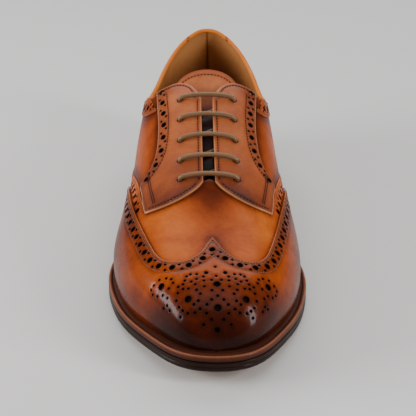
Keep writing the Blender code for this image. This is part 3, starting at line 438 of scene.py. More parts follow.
lining_colours = ((0.0, (0.58, 0.285, 0.105)), (0.5, (0.40, 0.172, 0.055)), (1.0, (0.13, 0.043, 0.015)))
lining_leather = leather("lining_leather", lining_colours, 0.55, 0.0, grain=0.16, blotch=0.22)
sock_turns = np.linspace(0, 1, 90)
sock_share = length_share(sock_turns)
sock_end = np.where(sock_share > 0.5, TOE_EXTENSION, HEEL_EXTENSION) * (1 - rising(sock_turns, 0.3))
insole_inset = welt_shown(sock_share) * rising(sock_turns, 0.3) + sock_end + 0.0044
INSOLE_TOP = OUTSOLE_THICK + WELT_THICK + INSOLE_THICK
sock_levels = (
    (insole_inset, feather_height),
    (insole_inset, lambda y: underside(y) + INSOLE_TOP - 0.0005),
    (insole_inset + 0.0006, lambda y: underside(y) + INSOLE_TOP),
)
sock_points, sock_faces = plate(sock_turns, sock_levels)
sock_tone = 0.35 + 0.3 * ramp(-sock_points[:, 1], -0.05, 0.05)
add_piece(
    "insole_sock", sock_points, sock_faces, lining_leather, ["insole"],
    {"tone": sock_tone},
)


# The lining is natural calf, cut as one thin sheet from the feather edge to the topline. It
# is stitched to the upper along the collar and joined at the back by an upright seam.
INNER_FACE = -0.00375
LINING_THICK = 0.0009
THROAT_HALF_GAP = 0.0034
THROAT_FRONT, THROAT_TOP = 0.681, 0.490
EYELET_FROM_EDGE = 0.0127
EYELET_RADIUS = 0.00185
EYELET_AT = (0.4875, 0.5355, 0.5825, 0.6290, 0.6705)
TOPLINE_ROWS = (
    (0.000, 0.757), (0.003, 0.730), (0.012, 0.680), (0.022, 0.641), (0.040, 0.588), (0.060, 0.540),
    (0.100, 0.462), (0.150, 0.405), (0.200, 0.380), (0.250, 0.388), (0.300, 0.420), (0.345, 0.485),
    (0.385, 0.565), (0.415, 0.650), (0.431, 0.725), (0.4375, 0.810), (0.445, 0.885), (0.462, 0.925),
    (0.490, 0.945),
)
strip_turns = np.linspace(0, 1, 801)
strip_walk = np.linalg.norm(np.diff(skin(strip_turns, -0.45), axis=0), axis=1)
strip_walk += np.linalg.norm(np.diff(skin(strip_turns, 0.45), axis=0), axis=1)
strip_lengths = np.concatenate([[0.0], np.cumsum(strip_walk / 2)])
strip_girths = np.interp(strip_turns, girth_turns, (girth_lengths[-1] + girth_lengths[1]) / 2)


def girth(at):
    """Length of one side of the section, the mean of both sides."""
    return np.interp(turn(at), strip_turns, strip_girths)


def flat(line):
    """Pattern laid flat: the walked length at mid height, and the girth times the place."""
    line = np.asarray(line, float)
    wide = np.interp(line[..., 0], strip_turns, strip_girths)
    return np.stack([np.interp(line[..., 0], strip_turns, strip_lengths), line[..., 1] * wide], -1)


def unflat(plane):
    """Back from the flat pattern: the half turn at that length, and the place over the girth."""
    t = np.interp(plane[..., 0], strip_lengths, strip_turns)
    wide = np.maximum(np.interp(t, strip_turns, strip_girths), 1e-6)
    return np.stack([t, np.clip(plane[..., 1] / wide, -1, 1)], -1)


def seam(rows, side=-1):
    """Seam from shares of length and girth, as flat points on one side of the shoe."""
    rows = np.asarray(rows, float)
    return flat(np.stack([turn(rows[:, 0]), side * (1 - rows[:, 1])], -1))


def walked(line):
    """Length walked along a line up to each of its points."""
    return np.concatenate([[0.0], np.cumsum(np.linalg.norm(np.diff(line, axis=0), axis=1))])


def read_at(places, travelled, line):
    """Points of a flat line at walked places along it."""
    return np.stack([np.interp(places, travelled, line[:, axis]) for axis in (0, 1)], -1)


def even(line, pitch, smooth=True):
    """Line read at even steps of its length, after a spline through its points."""
    line = np.asarray(line, float)
    travelled = walked(line)
    keep = np.concatenate([[True], np.diff(travelled) > 1e-7])
    line, travelled = line[keep], travelled[keep]
    if smooth and len(line) > 2:
        dense = np.linspace(0, travelled[-1], 40 * len(line))
        line = np.stack([spline(travelled, line[:, 0])(dense), spline(travelled, line[:, 1])(dense)], -1)
        travelled = walked(line)
    count = max(int(round(travelled[-1] / pitch)) + 1, 2)
    return read_at(np.linspace(0, travelled[-1], count), travelled, line)


def drawn(rows, side, pitch=0.002):
    """Seam from shares of length and girth, read at even steps of its flat length."""
    return even(seam(rows, side), pitch)


def foot_line(side, start=0.0, end=1.0):
    """Feather edge of one side between two half turns, as flat points."""
    return seam([(at, 0.0) for at in length_share(np.linspace(start, end, 60))], side)


def closed(outline):
    """Closed outline at even steps, corners kept to half a step, without its doubled end."""
    return even(np.concatenate([outline, outline[:1]]), 0.0010, smooth=False)[:-1]


def beside(line, distance):
    """Flat line moved to its left by a distance, square to its own direction."""
    along = unit(np.gradient(line, axis=0))
    return line + distance * np.stack([-along[:, 1], along[:, 0]], -1)


def nearest(points, others):
    """Distance from each flat point to the nearest of some others, a batch at a time."""
    best = np.full(len(points), 1.0)
    for first in range(0, len(others), 256):
        batch = others[first:first + 256]
        gaps = np.linalg.norm(points[:, None] - batch[None], axis=2).min(1)
        best = np.minimum(best, gaps)
    return best


def within(points, outline):
    """True inside a closed outline: an upward ray crosses its sides an odd number of times."""
    inside = np.zeros(len(points), bool)
    after = np.roll(outline, -1, axis=0)
    for first in range(0, len(outline), 256):
        a, b = outline[first:first + 256], after[first:first + 256]
        spans = (a[:, 0] > points[:, None, 0]) != (b[:, 0] > points[:, None, 0])
        rise = np.where(b[:, 0] == a[:, 0], 1.0, b[:, 0] - a[:, 0])
        cross = a[:, 1] + (points[:, None, 0] - a[:, 0]) * (b[:, 1] - a[:, 1]) / rise
        inside ^= (np.sum(spans & (points[:, None, 1] < cross), axis=1) % 2).astype(bool)
    return inside


RIM_CORNERS = 10


def round_rims(centres, radii):
    """Rims of punched holes: circles on the skin, turned into flat offsets by the inverse
    root of the surface's own metric at each centre."""
    step = 0.0004
    here = skin(*unflat(centres).T)
    per_u = (skin(*unflat(centres + [step, 0]).T) - here) / step
    per_v = (skin(*unflat(centres + [0, step]).T) - here) / step
    metric = np.stack([np.stack([np.sum(per_u ** 2, 1), np.sum(per_u * per_v, 1)], -1),
                       np.stack([np.sum(per_u * per_v, 1), np.sum(per_v ** 2, 1)], -1)], -2)
    values, vectors = np.linalg.eigh(metric)
    inverse = np.einsum("nij,nj,nkj->nik", vectors, 1 / np.sqrt(np.maximum(values, 1e-6)), vectors)
    angles = np.linspace(0, 2 * np.pi, RIM_CORNERS, endpoint=False)
    circle = np.stack([np.cos(angles), np.sin(angles)], -1)
    return centres[:, None] + np.asarray(radii)[:, None, None] * np.einsum("nij,aj->nai", inverse, circle)


PANEL_MARGIN = 0.0013
ROW_RISE = 0.866
EDGE_GUIDES = ((0.00035, 0.0003), (0.0009, 0.0008))
RIM_GUIDE, RIM_CLEAR = 0.00045, 0.0003
SEAM_GUIDE, SEAM_STEP, SEAM_CLEAR = 0.0005, 0.0012, 0.0006


def panel_points(edge, rims, wide_rims, seams, pitch):
    """Flat points of a panel: its edge and rims, guide lines beside them and beside its seams,
    and a field of even rows, with every point a set distance clear of the lines before it."""
    low, high = edge.min(0), edge.max(0)
    rows = np.arange(low[1], high[1] + pitch, pitch * ROW_RISE)
    columns = np.arange(low[0], high[0] + pitch, pitch)
    u = columns[None, :] + (np.arange(len(rows)) % 2)[:, None] * pitch / 2
    field = np.stack([u, np.broadcast_to(rows[:, None], u.shape)], -1).reshape(-1, 2)
    field = field[within(field, edge)]
    border = np.concatenate([edge, rims.reshape(-1, 2)])
    field = field[nearest(field, border) > PANEL_MARGIN]
    loop = np.concatenate([edge, edge[:1]])
    turned = np.sum(edge[:, 0] * np.roll(edge[:, 1], -1) - np.roll(edge[:, 0], -1) * edge[:, 1])
    inward = 1.0 if turned > 0 else -1.0
    guides = [(beside(loop, inward * depth)[:-1], clear) for depth, clear in EDGE_GUIDES]
    guides.append((wide_rims.reshape(-1, 2), RIM_CLEAR))
    for line in seams:
        middle = even(line, SEAM_STEP)
        guides += [(beside(middle, gap), SEAM_CLEAR) for gap in (-SEAM_GUIDE, 0.0, SEAM_GUIDE)]
    kept = [border]
    for guide, clear in guides:
        if len(guide):
            guide = guide[within(guide, edge)]
            guide = guide[nearest(guide, border) > clear]
        kept.append(guide)
    lines = np.concatenate(kept[3:])
    if len(lines):
        field = field[nearest(field, lines) > pitch * 0.42]
    return np.concatenate([*kept, field])


def panel_faces(plane, edge, rims, bores):
    """Triangles between flat points, tied along the edge and the rims. Those outside the edge
    or inside a bore are left out, and so are points that no triangle uses."""
    loops = [np.arange(len(edge))]
    loops += [len(edge) + number * RIM_CORNERS + np.arange(RIM_CORNERS) for number in range(len(rims))]
    ties = np.concatenate([np.stack([loop, np.roll(loop, -1)], -1) for loop in loops])
    made = delaunay_2d_cdt([Vector(p) for p in (plane * 1000).tolist()], ties.tolist(), [], 0, 1e-7)
    plane = np.array([tuple(p) for p in made[0]]) / 1000
    faces = np.array([face for face in made[2] if len(face) == 3])
    middle = plane[faces].mean(1)
    keep = within(middle, edge)
    for bore in bores:
        near = np.linalg.norm(middle - bore.mean(0), axis=1) < 0.004
        keep[near] &= ~within(middle[near], bore)
    used, faces = np.unique(faces[keep], return_inverse=True)
    return plane[used], faces.reshape(-1, 3)


def cut_panel(name, outline, face, thick, tone, material, nodes, holes=(), seams=(), pitch=0.0016,
              covers=(), rounding=0.00035, ridge=None, edge_highlight=0.32, underside_shade=0.25):
    """Panel of leather cut from the flat pattern, with punched holes and a closed rim.

    The lift is the face's height, less a quarter round along every edge, less a soft furrow
    under each stitch line. Shade is painted into the holes and round their rims, along each stitch
    furrow and on the inner face, and a pale highlight is painted along the edge. What lies under a
    cover is painted in shade, and a painted shadow fades out in front of the cover's edge.
    """
    edge = closed(outline)
    centres = np.array([hole[:2] for hole in holes]).reshape(-1, 2)
    radii = np.array([hole[2] for hole in holes])
    rims = wide_rims = bores = np.zeros((0, RIM_CORNERS, 2))
    if len(centres):
        spreads = radii, radii + RIM_GUIDE, radii * 0.999
        rims, wide_rims, bores = (round_rims(centres, spread) for spread in spreads)
    plane, faces = panel_faces(panel_points(edge, rims, wide_rims, seams, pitch), edge, rims, bores)

    border_gap, hole_gap = nearest(plane, edge), nearest(plane, rims.reshape(-1, 2))
    place = unflat(plane)
    lift = np.broadcast_to(face(place) if callable(face) else face, len(plane)).copy()
    lift -= rounding * (1 - ramp(border_gap, 0.0, 0.0011)) ** 2
    lift -= 0.00008 * (1 - ramp(hole_gap, 0.0, 0.0004)) ** 2
    shade = np.full(len(plane), float(tone)) if not callable(tone) else tone(place, skin(*place.T))
    # Painted shade in the punched holes, fading out across their rims.
    painted_shade_and_seams = 0.75 * (1 - ramp(hole_gap, 0.0001, 0.00045))
    for line in seams:
        gap = nearest(plane, even(line, 0.0004))
        lift -= 0.00022 * bell(gap, 0.0005)
        # Painted shade along the stitch furrow.
        shade = shade + 0.08 * bell(gap, 0.0010)
        painted_shade_and_seams = np.maximum(painted_shade_and_seams, 0.25 * bell(gap, 0.0004))
    for cover in covers:
        depth = nearest(plane, closed(cover)) * np.where(within(plane, cover), 1.0, -1.0)
        # Painted shade under the cover, and a painted shadow just in front of its edge.
        painted_shade_and_seams = np.maximum(painted_shade_and_seams, ramp(depth, 0.0002, 0.0018))
        shade = shade + 0.22 * np.exp(-np.maximum(-depth, 0) / 0.0022) * (depth < 0.0004)
    if ridge is not None:
        lift += ridge(plane)
    # Painted highlight along the panel's edge, fading out within 0.7 mm of it.
    painted_edge_highlight = edge_highlight * (1 - ramp(border_gap, 0.00005, 0.0007))
    # Painted shade round each hole.
    shade = shade + 0.10 * (1 - ramp(hole_gap, 0.0002, 0.0012))
    outer, inner = skin(*place.T, lift), skin(*place.T, lift - thick)
    sides = np.concatenate([faces[:, [0, 1]], faces[:, [1, 2]], faces[:, [2, 0]]]).astype(np.int64)
    count = len(plane)
    tags, back = sides[:, 0] * count + sides[:, 1], sides[:, 1] * count + sides[:, 0]
    free = sides[~np.isin(tags, back)]
    rim_quads = np.stack([free[:, 1], free[:, 0], free[:, 0] + count, free[:, 1] + count], -1)
    solid = faces.tolist() + (faces[:, ::-1] + count).tolist() + rim_quads.tolist()
    marks = {
        # The inner face is painted darker by the underside shade.
        "tone": np.concatenate([shade, shade + underside_shade]),
        "edge": np.concatenate([painted_edge_highlight, np.zeros(count)]),
        "painted_shade_and_seams": np.concatenate([painted_shade_and_seams, np.where(hole_gap < 0.0003, 1.0, 0.0)]),
    }
    return add_piece(name, np.concatenate([outer, inner]), solid, material, nodes, marks)


def throat_line(half_gap, at_from, at_to):
    """Edge of the throat: a constant half gap from the ridge, measured over the girth."""
    at = np.linspace(at_from, at_to, 14)
    return np.stack([at, 1 - half_gap / girth(at)], -1)


def eyelets(side):
    """Eyelets of one side: their shares of length, a set distance from the throat's edge."""
    at = np.array(EYELET_AT)
    w = side * (THROAT_HALF_GAP + EYELET_FROM_EDGE) / girth(at)
    return flat(np.stack([turn(at), w], -1))


def topline(drop, at_to):
    """Topline rows up to a share of the length, lowered by a length over the girth."""
    return [(at, share - drop / girth(at)) for at, share in TOPLINE_ROWS if at <= at_to]


SIDES = ((-1, "lateral"), (1, "medial"))
LINING_TOP = 0.0008
lining_rows = []


def lining_tone(place, point):
    """Ochre, darker towards the insole as painted shade inside the shoe, with a dark line at the upright
    back seam.
    """
    back = bell(point[:, 0], 0.0008) * (point[:, 1] > 0.1)
    return 0.30 + 0.60 * ramp(-point[:, 2], -0.088, -0.052) + 0.55 * back


for side, word in SIDES:
    throat = throat_line(THROAT_HALF_GAP + 0.0014, 0.49, 0.672)
    top = drawn([*topline(LINING_TOP, 0.462), *throat], side)
    front = seam([(0.68, 1.0), (0.75, 1.0), (0.82, 1.0), (0.9, 1.0), (0.96, 1.0), (1.0, 1.0)], side)
    outline = np.concatenate([top, front, foot_line(side)[::-1]])
    holes = [(*place, EYELET_RADIUS) for place in eyelets(side)]
    stitch = beside(drawn(topline(LINING_TOP, 0.432), side), side * 0.0022)
    joint = seam([(0.235, 0.0), (0.235, 0.16), (0.228, 0.30), (0.205, 0.372)], side)
    cut_panel(
        "lining_" + word, outline, INNER_FACE + LINING_THICK, LINING_THICK, lining_tone, lining_leather,
        ["upper"], holes, [stitch, joint], pitch=0.0026, rounding=0.0003,
        edge_highlight=0.1, underside_shade=0.0,
    )
    lining_rows += [stitch[2:-2], joint]


# The quarters are smooth burnished calf over the lining. They run from the back seam to the
# facings, and the vamp, the foxing and the collar strap are stitched down on them.
VAMP_FACE = -0.00095
QUARTER_FACE = -0.00175
QUARTER_THICK = 0.0010
LAP_ROWS = (
    (0.000, 0.430), (0.003, 0.430), (0.012, 0.426), (0.025, 0.416), (0.045, 0.400), (0.070, 0.375),
    (0.110, 0.330), (0.160, 0.270), (0.210, 0.235), (0.260, 0.218), (0.310, 0.212), (0.355, 0.212),
    (0.395, 0.222), (0.430, 0.242), (0.465, 0.275), (0.500, 0.320), (0.535, 0.380), (0.570, 0.440),
    (0.610, 0.490), (0.645, 0.515), (0.675, 0.535), (0.700, 0.560),
)
FACING_OUTER_ROWS = (
    (0.432, 0.700), (0.470, 0.702), (0.512, 0.703), (0.553, 0.690), (0.584, 0.664),
    (0.604, 0.622), (0.615, 0.575), (0.622, 0.538), (0.648, 0.541), (0.680, 0.550), (0.714, 0.560),
)
FACING_FRONT_ROWS = (
    (0.714, 0.560), (0.719, 0.640), (0.719, 0.720), (0.714, 0.800), (0.705, 0.868), (0.695, 0.920),
    (0.681, 0.955),
)
FACING_TOP_ROWS = (
    (0.432, 0.700), (0.4365, 0.760), (0.439, 0.830), (0.447, 0.890), (0.463, 0.934), (0.490, 0.955),
)
BAND_ROWS = (
    (0.000, 0.615), (0.030, 0.500), (0.060, 0.425), (0.100, 0.355), (0.150, 0.302), (0.200, 0.282),
    (0.250, 0.288), (0.300, 0.325), (0.350, 0.395), (0.400, 0.475), (0.440, 0.555), (0.463, 0.628),
    (0.474, 0.686),
)
ROLL_RADIUS = 0.0014
COLLAR_END = 0.42
calf_colours = (
    (0.0, (0.52, 0.125, 0.015)), (0.25, (0.32, 0.056, 0.006)), (0.5, (0.130, 0.018, 0.0025)),
    (0.75, (0.046, 0.0065, 0.002)), (1.0, (0.017, 0.0026, 0.001)),
)
tan_calf = leather("tan_calf", calf_colours, 0.38, 0.04, blotch=0.38)


def facing_outline(side):
    """Closed flat outline of a facing: outer edge, front, throat and top, end to end."""
    outer = drawn(FACING_OUTER_ROWS, side)
    corners = [throat_line(THROAT_HALF_GAP, at, at)[:1] for at in (THROAT_FRONT, THROAT_TOP)]
    front = drawn([*FACING_FRONT_ROWS[:-1], *corners[0]], side)
    throat = drawn(throat_line(THROAT_HALF_GAP, THROAT_FRONT, THROAT_TOP), side)
    top = drawn([*FACING_TOP_ROWS[:-1], *corners[1]], side)
    return np.concatenate([outer[:-1], front[:-1], throat[:-1], top[::-1][:-1]])


def band_outline(side):
    """Closed flat outline of the collar strap: its lower edge and the topline over it."""
    low = [(0.018, float(np.interp(0.018, *zip(*BAND_ROWS)))), *BAND_ROWS[1:]]
    top = [(at, share) for at, share in topline(2 * ROLL_RADIUS + 0.0004, COLLAR_END) if at > 0.018]
    return np.concatenate([drawn(low, side), drawn(top, side)[::-1]])


def foxing_outline(side):
    """Closed flat outline of the foxing and vamp of one side, as far as the ridge."""
    lap = drawn(LAP_ROWS, side)
    front = seam([(0.700, 0.70), (0.69, 0.85), (0.672, 1.0), (0.75, 1.0), (0.9, 1.0), (1.0, 1.0)], side)
    return np.concatenate([lap, front, foot_line(side)[::-1]])


def quarter_tone(side):
    """Mid tan, darker towards the lap, the facing and the strap, as burnished by hand."""
    borders = np.concatenate([
        drawn(LAP_ROWS, side),
        drawn(FACING_OUTER_ROWS, side),
        drawn(BAND_ROWS, side),
    ])

    def tone(place, point):
        gap = nearest(flat(place), borders)
        return 0.27 + 0.40 * np.exp(-gap / 0.0050) + 0.14 * ramp(-place[:, 0], -0.3, 0.0)

    return tone


for side, word in SIDES:
    under_facing = [(0.44, 0.72), (0.55, 0.75), (0.66, 0.72)]
    top = drawn(topline(2 * ROLL_RADIUS + 0.0003, COLLAR_END) + under_facing, side)
    low = drawn([(at, share - 0.110) for at, share in LAP_ROWS if at < 0.69], side)
    covers = [facing_outline(side), band_outline(side), foxing_outline(side)]
    cut_panel(
        "quarter_" + word, np.concatenate([top, low[::-1]]), QUARTER_FACE, QUARTER_THICK,
        quarter_tone(side), tan_calf, ["upper"], covers=covers, pitch=0.0022,
    )


# The vamp and the foxing are one layer over the quarters. Their upper edge is brogued and
# double stitched, and in front of the facings the vamp carries the darkest hand burnishing.
VAMP_THICK = 0.0010
BROGUE_RADIUS = 0.0017
BROGUE_PITCH = 0.0088
BROGUE_INSET = 0.0044
SMALL_HOLE = 0.00074
EDGE_STITCH = 0.0012
STITCH_PITCH = 0.0019
WING_ROWS = (
    (0.812, 1.000), (0.826, 0.965), (0.844, 0.922), (0.858, 0.862), (0.867, 0.786), (0.866, 0.708),
    (0.859, 0.642), (0.843, 0.592), (0.811, 0.560), (0.775, 0.537), (0.735, 0.511), (0.690, 0.478),
    (0.640, 0.437), (0.590, 0.385), (0.540, 0.310), (0.490, 0.215), (0.445, 0.110), (0.415, 0.000),
)


def wing_outline():
    """Closed flat outline of the wing cap: both tails, the peak between them and the foot."""
    tail = 1.0, float(turn(0.42))
    lateral, medial = (drawn(WING_ROWS, side) for side in (-1, 1))
    return np.concatenate([lateral[::-1], medial[1:], foot_line(1, *tail)[::-1], foot_line(-1, *tail)])


def brogueing(line, inset, side, skip=0.0):
    """Traditional punching along an edge: a large hole at every pitch, and between two of
    them one small hole near each stitch row, set slantwise."""
    middle = beside(even(line, 0.0005), side * inset)
    travelled = walked(middle)
    marks = np.arange(skip + BROGUE_PITCH / 2, travelled[-1] - 0.002, BROGUE_PITCH)
    along = unit(np.gradient(middle, axis=0))
    across = np.stack([-along[:, 1], along[:, 0]], -1)

    between = marks[:-1] + BROGUE_PITCH / 2
    holes = []
    for places, offset, radius in (
        (marks, 0.0, BROGUE_RADIUS), (between - 0.0009, 0.0017, SMALL_HOLE),
        (between + 0.0009, -0.0017, SMALL_HOLE),
    ):
        points = read_at(places, travelled, middle) + read_at(places, travelled, across) * offset
        holes += [(*point, radius) for point in points]
    return holes


def vamp_tone(place, point):
    """Light orange tan, darker under the facings, along the wing cap and round the heel, with painted shade
    low on the sides towards the feather edge.
    """
    at, share = length_share(place[:, 0]), 1 - np.abs(place[:, 1])
    throat = bell(at - 0.70, 0.035) * ramp(share, 0.75, 1.0)
    centre = 0.20 * np.exp(-((at - 0.752) / 0.035) ** 2 - (place[:, 1] / 0.12) ** 2)
    peak = 0.20 * bell(at - 0.815, 0.030) * ramp(share, 0.6, 1.0)
    heel = 0.30 * ramp(-at, -0.22, -0.02)
    # Painted shade low on the sides, darkest at the feather edge.
    foot = 0.36 * ramp(-share, -0.34, 0.0)
    return 0.15 + 0.45 * throat + centre + peak + heel + foot


vamp_outline = np.concatenate([
    drawn(LAP_ROWS, -1), seam([(0.700, 0.70), (0.69, 0.85), (0.672, 1.0)], -1),
    seam([(0.69, 0.85), (0.700, 0.70)], 1), drawn(LAP_ROWS, 1)[::-1],
    foot_line(1), foot_line(-1, 1.0, 0.0),
])
vamp_holes, vamp_stitches = [], []
for side in (-1, 1):
    lap = drawn([row for row in LAP_ROWS if 0.03 < row[0] < 0.71], side)
    vamp_holes += brogueing(lap, BROGUE_INSET, side)
    vamp_stitches += [beside(lap, side * EDGE_STITCH), beside(lap, side * 0.0077)]
cut_panel(
    "vamp_and_foxing", vamp_outline, VAMP_FACE, VAMP_THICK, vamp_tone, tan_calf, ["upper"],
    vamp_holes, vamp_stitches, covers=[wing_outline(), facing_outline(-1), facing_outline(1)],
)


def stitches(name, lines, pitch, face, colour, radius=0.00019, out=1):
    """Stitch rows: each stitch is a short six-sided thread whose lift is an arch, so that
    both its ends sink into the leather."""
    label = "thread_" + colour
    material = bpy.data.materials.get(label) or thread_material(label, THREADS[colour])
    rise, share = 0.00008, 0.66
    rings, corners = 5, 6
    steps = np.linspace(-0.5, 0.5, rings)
    angles = np.linspace(0, 2 * np.pi, corners, endpoint=False)
    tubes = []
    for line in lines:
        line = even(line, 0.0004)
        travelled = walked(line)
        marks = np.arange(pitch / 2, travelled[-1], pitch)
        places = marks[:, None] + steps * pitch * share
        place = unflat(read_at(places, travelled, line))
        arch = out * (rise * (1 - (2 * steps) ** 2) - radius * 0.6)
        base = face(place.reshape(-1, 2)).reshape(place.shape[:2]) if callable(face) else face
        centre = skin(place[..., 0], place[..., 1], base + arch)
        normal = unit(skin(place[..., 0], place[..., 1], base + arch + 0.001) - centre)
        across = np.cross(unit(np.gradient(centre, axis=1)), normal)
        thin = radius * np.sqrt(1 - (1.8 * steps) ** 2 * 0.98)
        ring = across[..., None, :] * np.cos(angles)[:, None]
        ring = ring + normal[..., None, :] * np.sin(angles)[:, None]
        tubes.append((centre[..., None, :] + ring * thin[None, :, None, None]).reshape(-1, 3))
    points = np.concatenate(tubes)
    count = len(points) // (rings * corners)
    first = np.arange(count)[:, None, None] * rings * corners
    quads = (first + ring_quads(rings, corners)[None]).reshape(-1, 4)
    start = first[:, 0] + np.arange(corners)[None, ::-1]
    end = first[:, 0] + (rings - 1) * corners + np.arange(corners)[None]
    faces = quads.tolist() + start.tolist() + end.tolist()
    return add_piece(name, points, faces, material, [])


def thread_material(name, colour):
    """Waxed thread: one dye with fine twist noise in its colour."""
    material, tree = new_material(name)
    twist = add_node(tree, "Group", {"Grain Scale": 2500.0}, node_tree=GRAIN).outputs["Fine"]
    dark, light = ((*[channel * share for channel in colour], 1.0) for share in (0.7, 1.3))
    dye = add_node(tree, "Mix", {"Factor": twist, "A": dark, "B": light}, data_type="RGBA")
    fill(tree, tree.nodes["Principled BSDF"], {
        "Base Color": dye.outputs["Result"], "Roughness": 0.75, "Specular IOR Level": 0.12,
    })
    return material


# The pale thread's colour is partly a painted highlight: the rows it draws are dark thread with pinkish
# highlights.
THREADS = {"dark": (0.014, 0.005, 0.004), "pale": (0.27, 0.115, 0.060), "tan": (0.17, 0.060, 0.020)}
stitches("stitching_foxing", vamp_stitches, STITCH_PITCH, VAMP_FACE, "pale")
stitches("stitching_lining", lining_rows, 0.0021, INNER_FACE, "tan", 0.00026, out=-1)


# The wing cap covers the toe. Its long edge is brogued between stitch rows, it comes to a
# peak on the vamp, and a medallion is punched on the toe. The toe is burnished nearly black.
WING_FACE = 0.0006
WING_THICK = 0.0012
burnished_calf = leather("burnished_calf", calf_colours, 0.27, 0.12, sheen=0.05, grain=0.05, blotch=0.34)


wing_middle = np.concatenate([
    beside(drawn(WING_ROWS[:-1], side, 0.001), -side * BROGUE_INSET) for side in (-1, 1)
])


def wing_tone(place, point):
    """Orange tan behind, deep red brown over the toe, with painted shade low on the sides that is darkest
    at the foot of the toe.
    """
    at = length_share(place[:, 0])
    share = 1 - np.abs(place[:, 1])
    toe = ramp(at, 0.880, 0.975)
    tip = ramp(-point[:, 1], 0.134, 0.149)
    # Painted shade low on the sides, towards the feather edge.
    foot = ramp(-share, -0.62, -0.05)
    band = 0.10 * np.exp(-(nearest(flat(place), wing_middle) / 0.0045) ** 4)
    return 0.26 + 0.36 * toe + 0.28 * tip + 0.38 * foot * (1 - 0.5 * tip) + band


wing_holes, wing_rows = [], []
for side in (-1, 1):
    edge = drawn(WING_ROWS[:-1], side, 0.001)
    wing_holes += brogueing(edge, BROGUE_INSET, -side, 0.0045)
    for gap, start in ((0.0011, 1), (0.0019, 3), (0.0074, 9)):
        wing_rows.append(beside(edge, -side * gap)[start:])
MEDALLION = (
    (0.000, 0.929, 0.0019), (0.000, 0.969, 0.0019), (0.130, 0.951, 0.0019), (0.254, 0.907, 0.0019),
    (0.000, 0.991, 0.0014), (0.043, 0.903, 0.0011),
)
MEDALLION_SPRAY = (
    (0.000, 0.889), (0.057, 0.912), (0.000, 0.911), (0.056, 0.921), (0.056, 0.933), (0.024, 0.941),
    (0.000, 0.951), (0.027, 0.957), (0.047, 0.964), (0.049, 0.975), (0.027, 0.982), (0.061, 0.986),
    (0.022, 0.920), (0.151, 0.931), (0.127, 0.933), (0.091, 0.938), (0.075, 0.946), (0.085, 0.957),
    (0.105, 0.961), (0.077, 0.969), (0.100, 0.972), (0.133, 0.970), (0.156, 0.964), (0.174, 0.957),
    (0.169, 0.970), (0.185, 0.946), (0.176, 0.935), (0.294, 0.895), (0.260, 0.893), (0.225, 0.897),
    (0.202, 0.903), (0.195, 0.912), (0.218, 0.919), (0.254, 0.923), (0.288, 0.917), (0.312, 0.907),
    (0.316, 0.898), (0.231, 0.933), (0.240, 0.943), (0.264, 0.941), (0.229, 0.952), (0.140, 0.915),
    (0.131, 0.907), (0.113, 0.904), (0.085, 0.905), (0.112, 0.920), (0.095, 0.927), (0.088, 0.916),
    (0.150, 0.922), (0.172, 0.924),
)


def toe_place(across, at, side):
    """Flat place on the toe from a share of the ball width and a share of length."""
    return flat(np.array([float(turn(at)), side * across * BALL_WIDTH / float(girth(at))]))


for side in (-1, 1):
    for across, at, radius in (*MEDALLION, *[(*spot, SMALL_HOLE) for spot in MEDALLION_SPRAY]):
        if side > 0 or across:
            wing_holes.append((*toe_place(across, at, side), radius))
placed = []
for x, y, radius in wing_holes:
    if all(np.hypot(x - a, y - b) > radius + other + 0.0005 for a, b, other in placed):
        placed.append((x, y, radius))
cut_panel(
    "wing_cap_leather", wing_outline(), WING_FACE, WING_THICK, wing_tone, burnished_calf, ["wing_cap"],
    placed, wing_rows, pitch=0.0018,
)
stitches("stitching_wing", wing_rows, 0.0017, WING_FACE, "pale")


# The backstay is a plain strip over the back seam, and the collar strap is a brogued band
# under the topline. Both are skived at their edges and stitched down on the quarters.
BAND_THICK = 0.0009
BAND_FACE = QUARTER_FACE + 0.0009
for side, word in SIDES:
    low = drawn(BAND_ROWS[1:], side)
    holes = brogueing(low, -BROGUE_INSET, side)
    under_bead = topline(2 * ROLL_RADIUS + 0.0014, COLLAR_END)
    top = drawn([row for row in under_bead if row[0] > 0.03], side)
    rows = [beside(low, -side * EDGE_STITCH), top]
    cut_panel(
        "collar_strap_" + word, band_outline(side), BAND_FACE, BAND_THICK, 0.34, tan_calf,
        ["collar_band_" + word], holes, rows, covers=[facing_outline(side)],
    )
    stitches("stitching_strap_" + word, rows, STITCH_PITCH, BAND_FACE, "pale")


backstay_low = [(0.0, 0.442), (0.004, 0.442), (0.014, 0.440)]
backstay_top = topline(2 * ROLL_RADIUS + 0.0006, TOPLINE_ROWS[2][0])
backstay_top.append((0.014, backstay_top[-1][1] - 0.006))
for side, word in SIDES:
    outline = np.concatenate([seam(backstay_top, side), seam(backstay_low, side)[::-1]])
    edge = drawn([backstay_top[-1], backstay_low[-1]], side)
    cut_panel(
        "backstay_" + word, outline, BAND_FACE, BAND_THICK, 0.40, tan_calf, ["backstay"],
        seams=[beside(edge, side * EDGE_STITCH)],
    )


# The collar's edge is the lining rolled over a soft cord, so it shows as a bright rounded
# bead that thins out into the facings. Two short upright seams join it near the heel.
roll_colours = ((0.0, (0.66, 0.20, 0.030)), (0.5, (0.50, 0.120, 0.016)), (1.0, (0.16, 0.032, 0.008)))
roll_leather = leather("collar_roll_leather", roll_colours, 0.42, 0.02, grain=0.08)


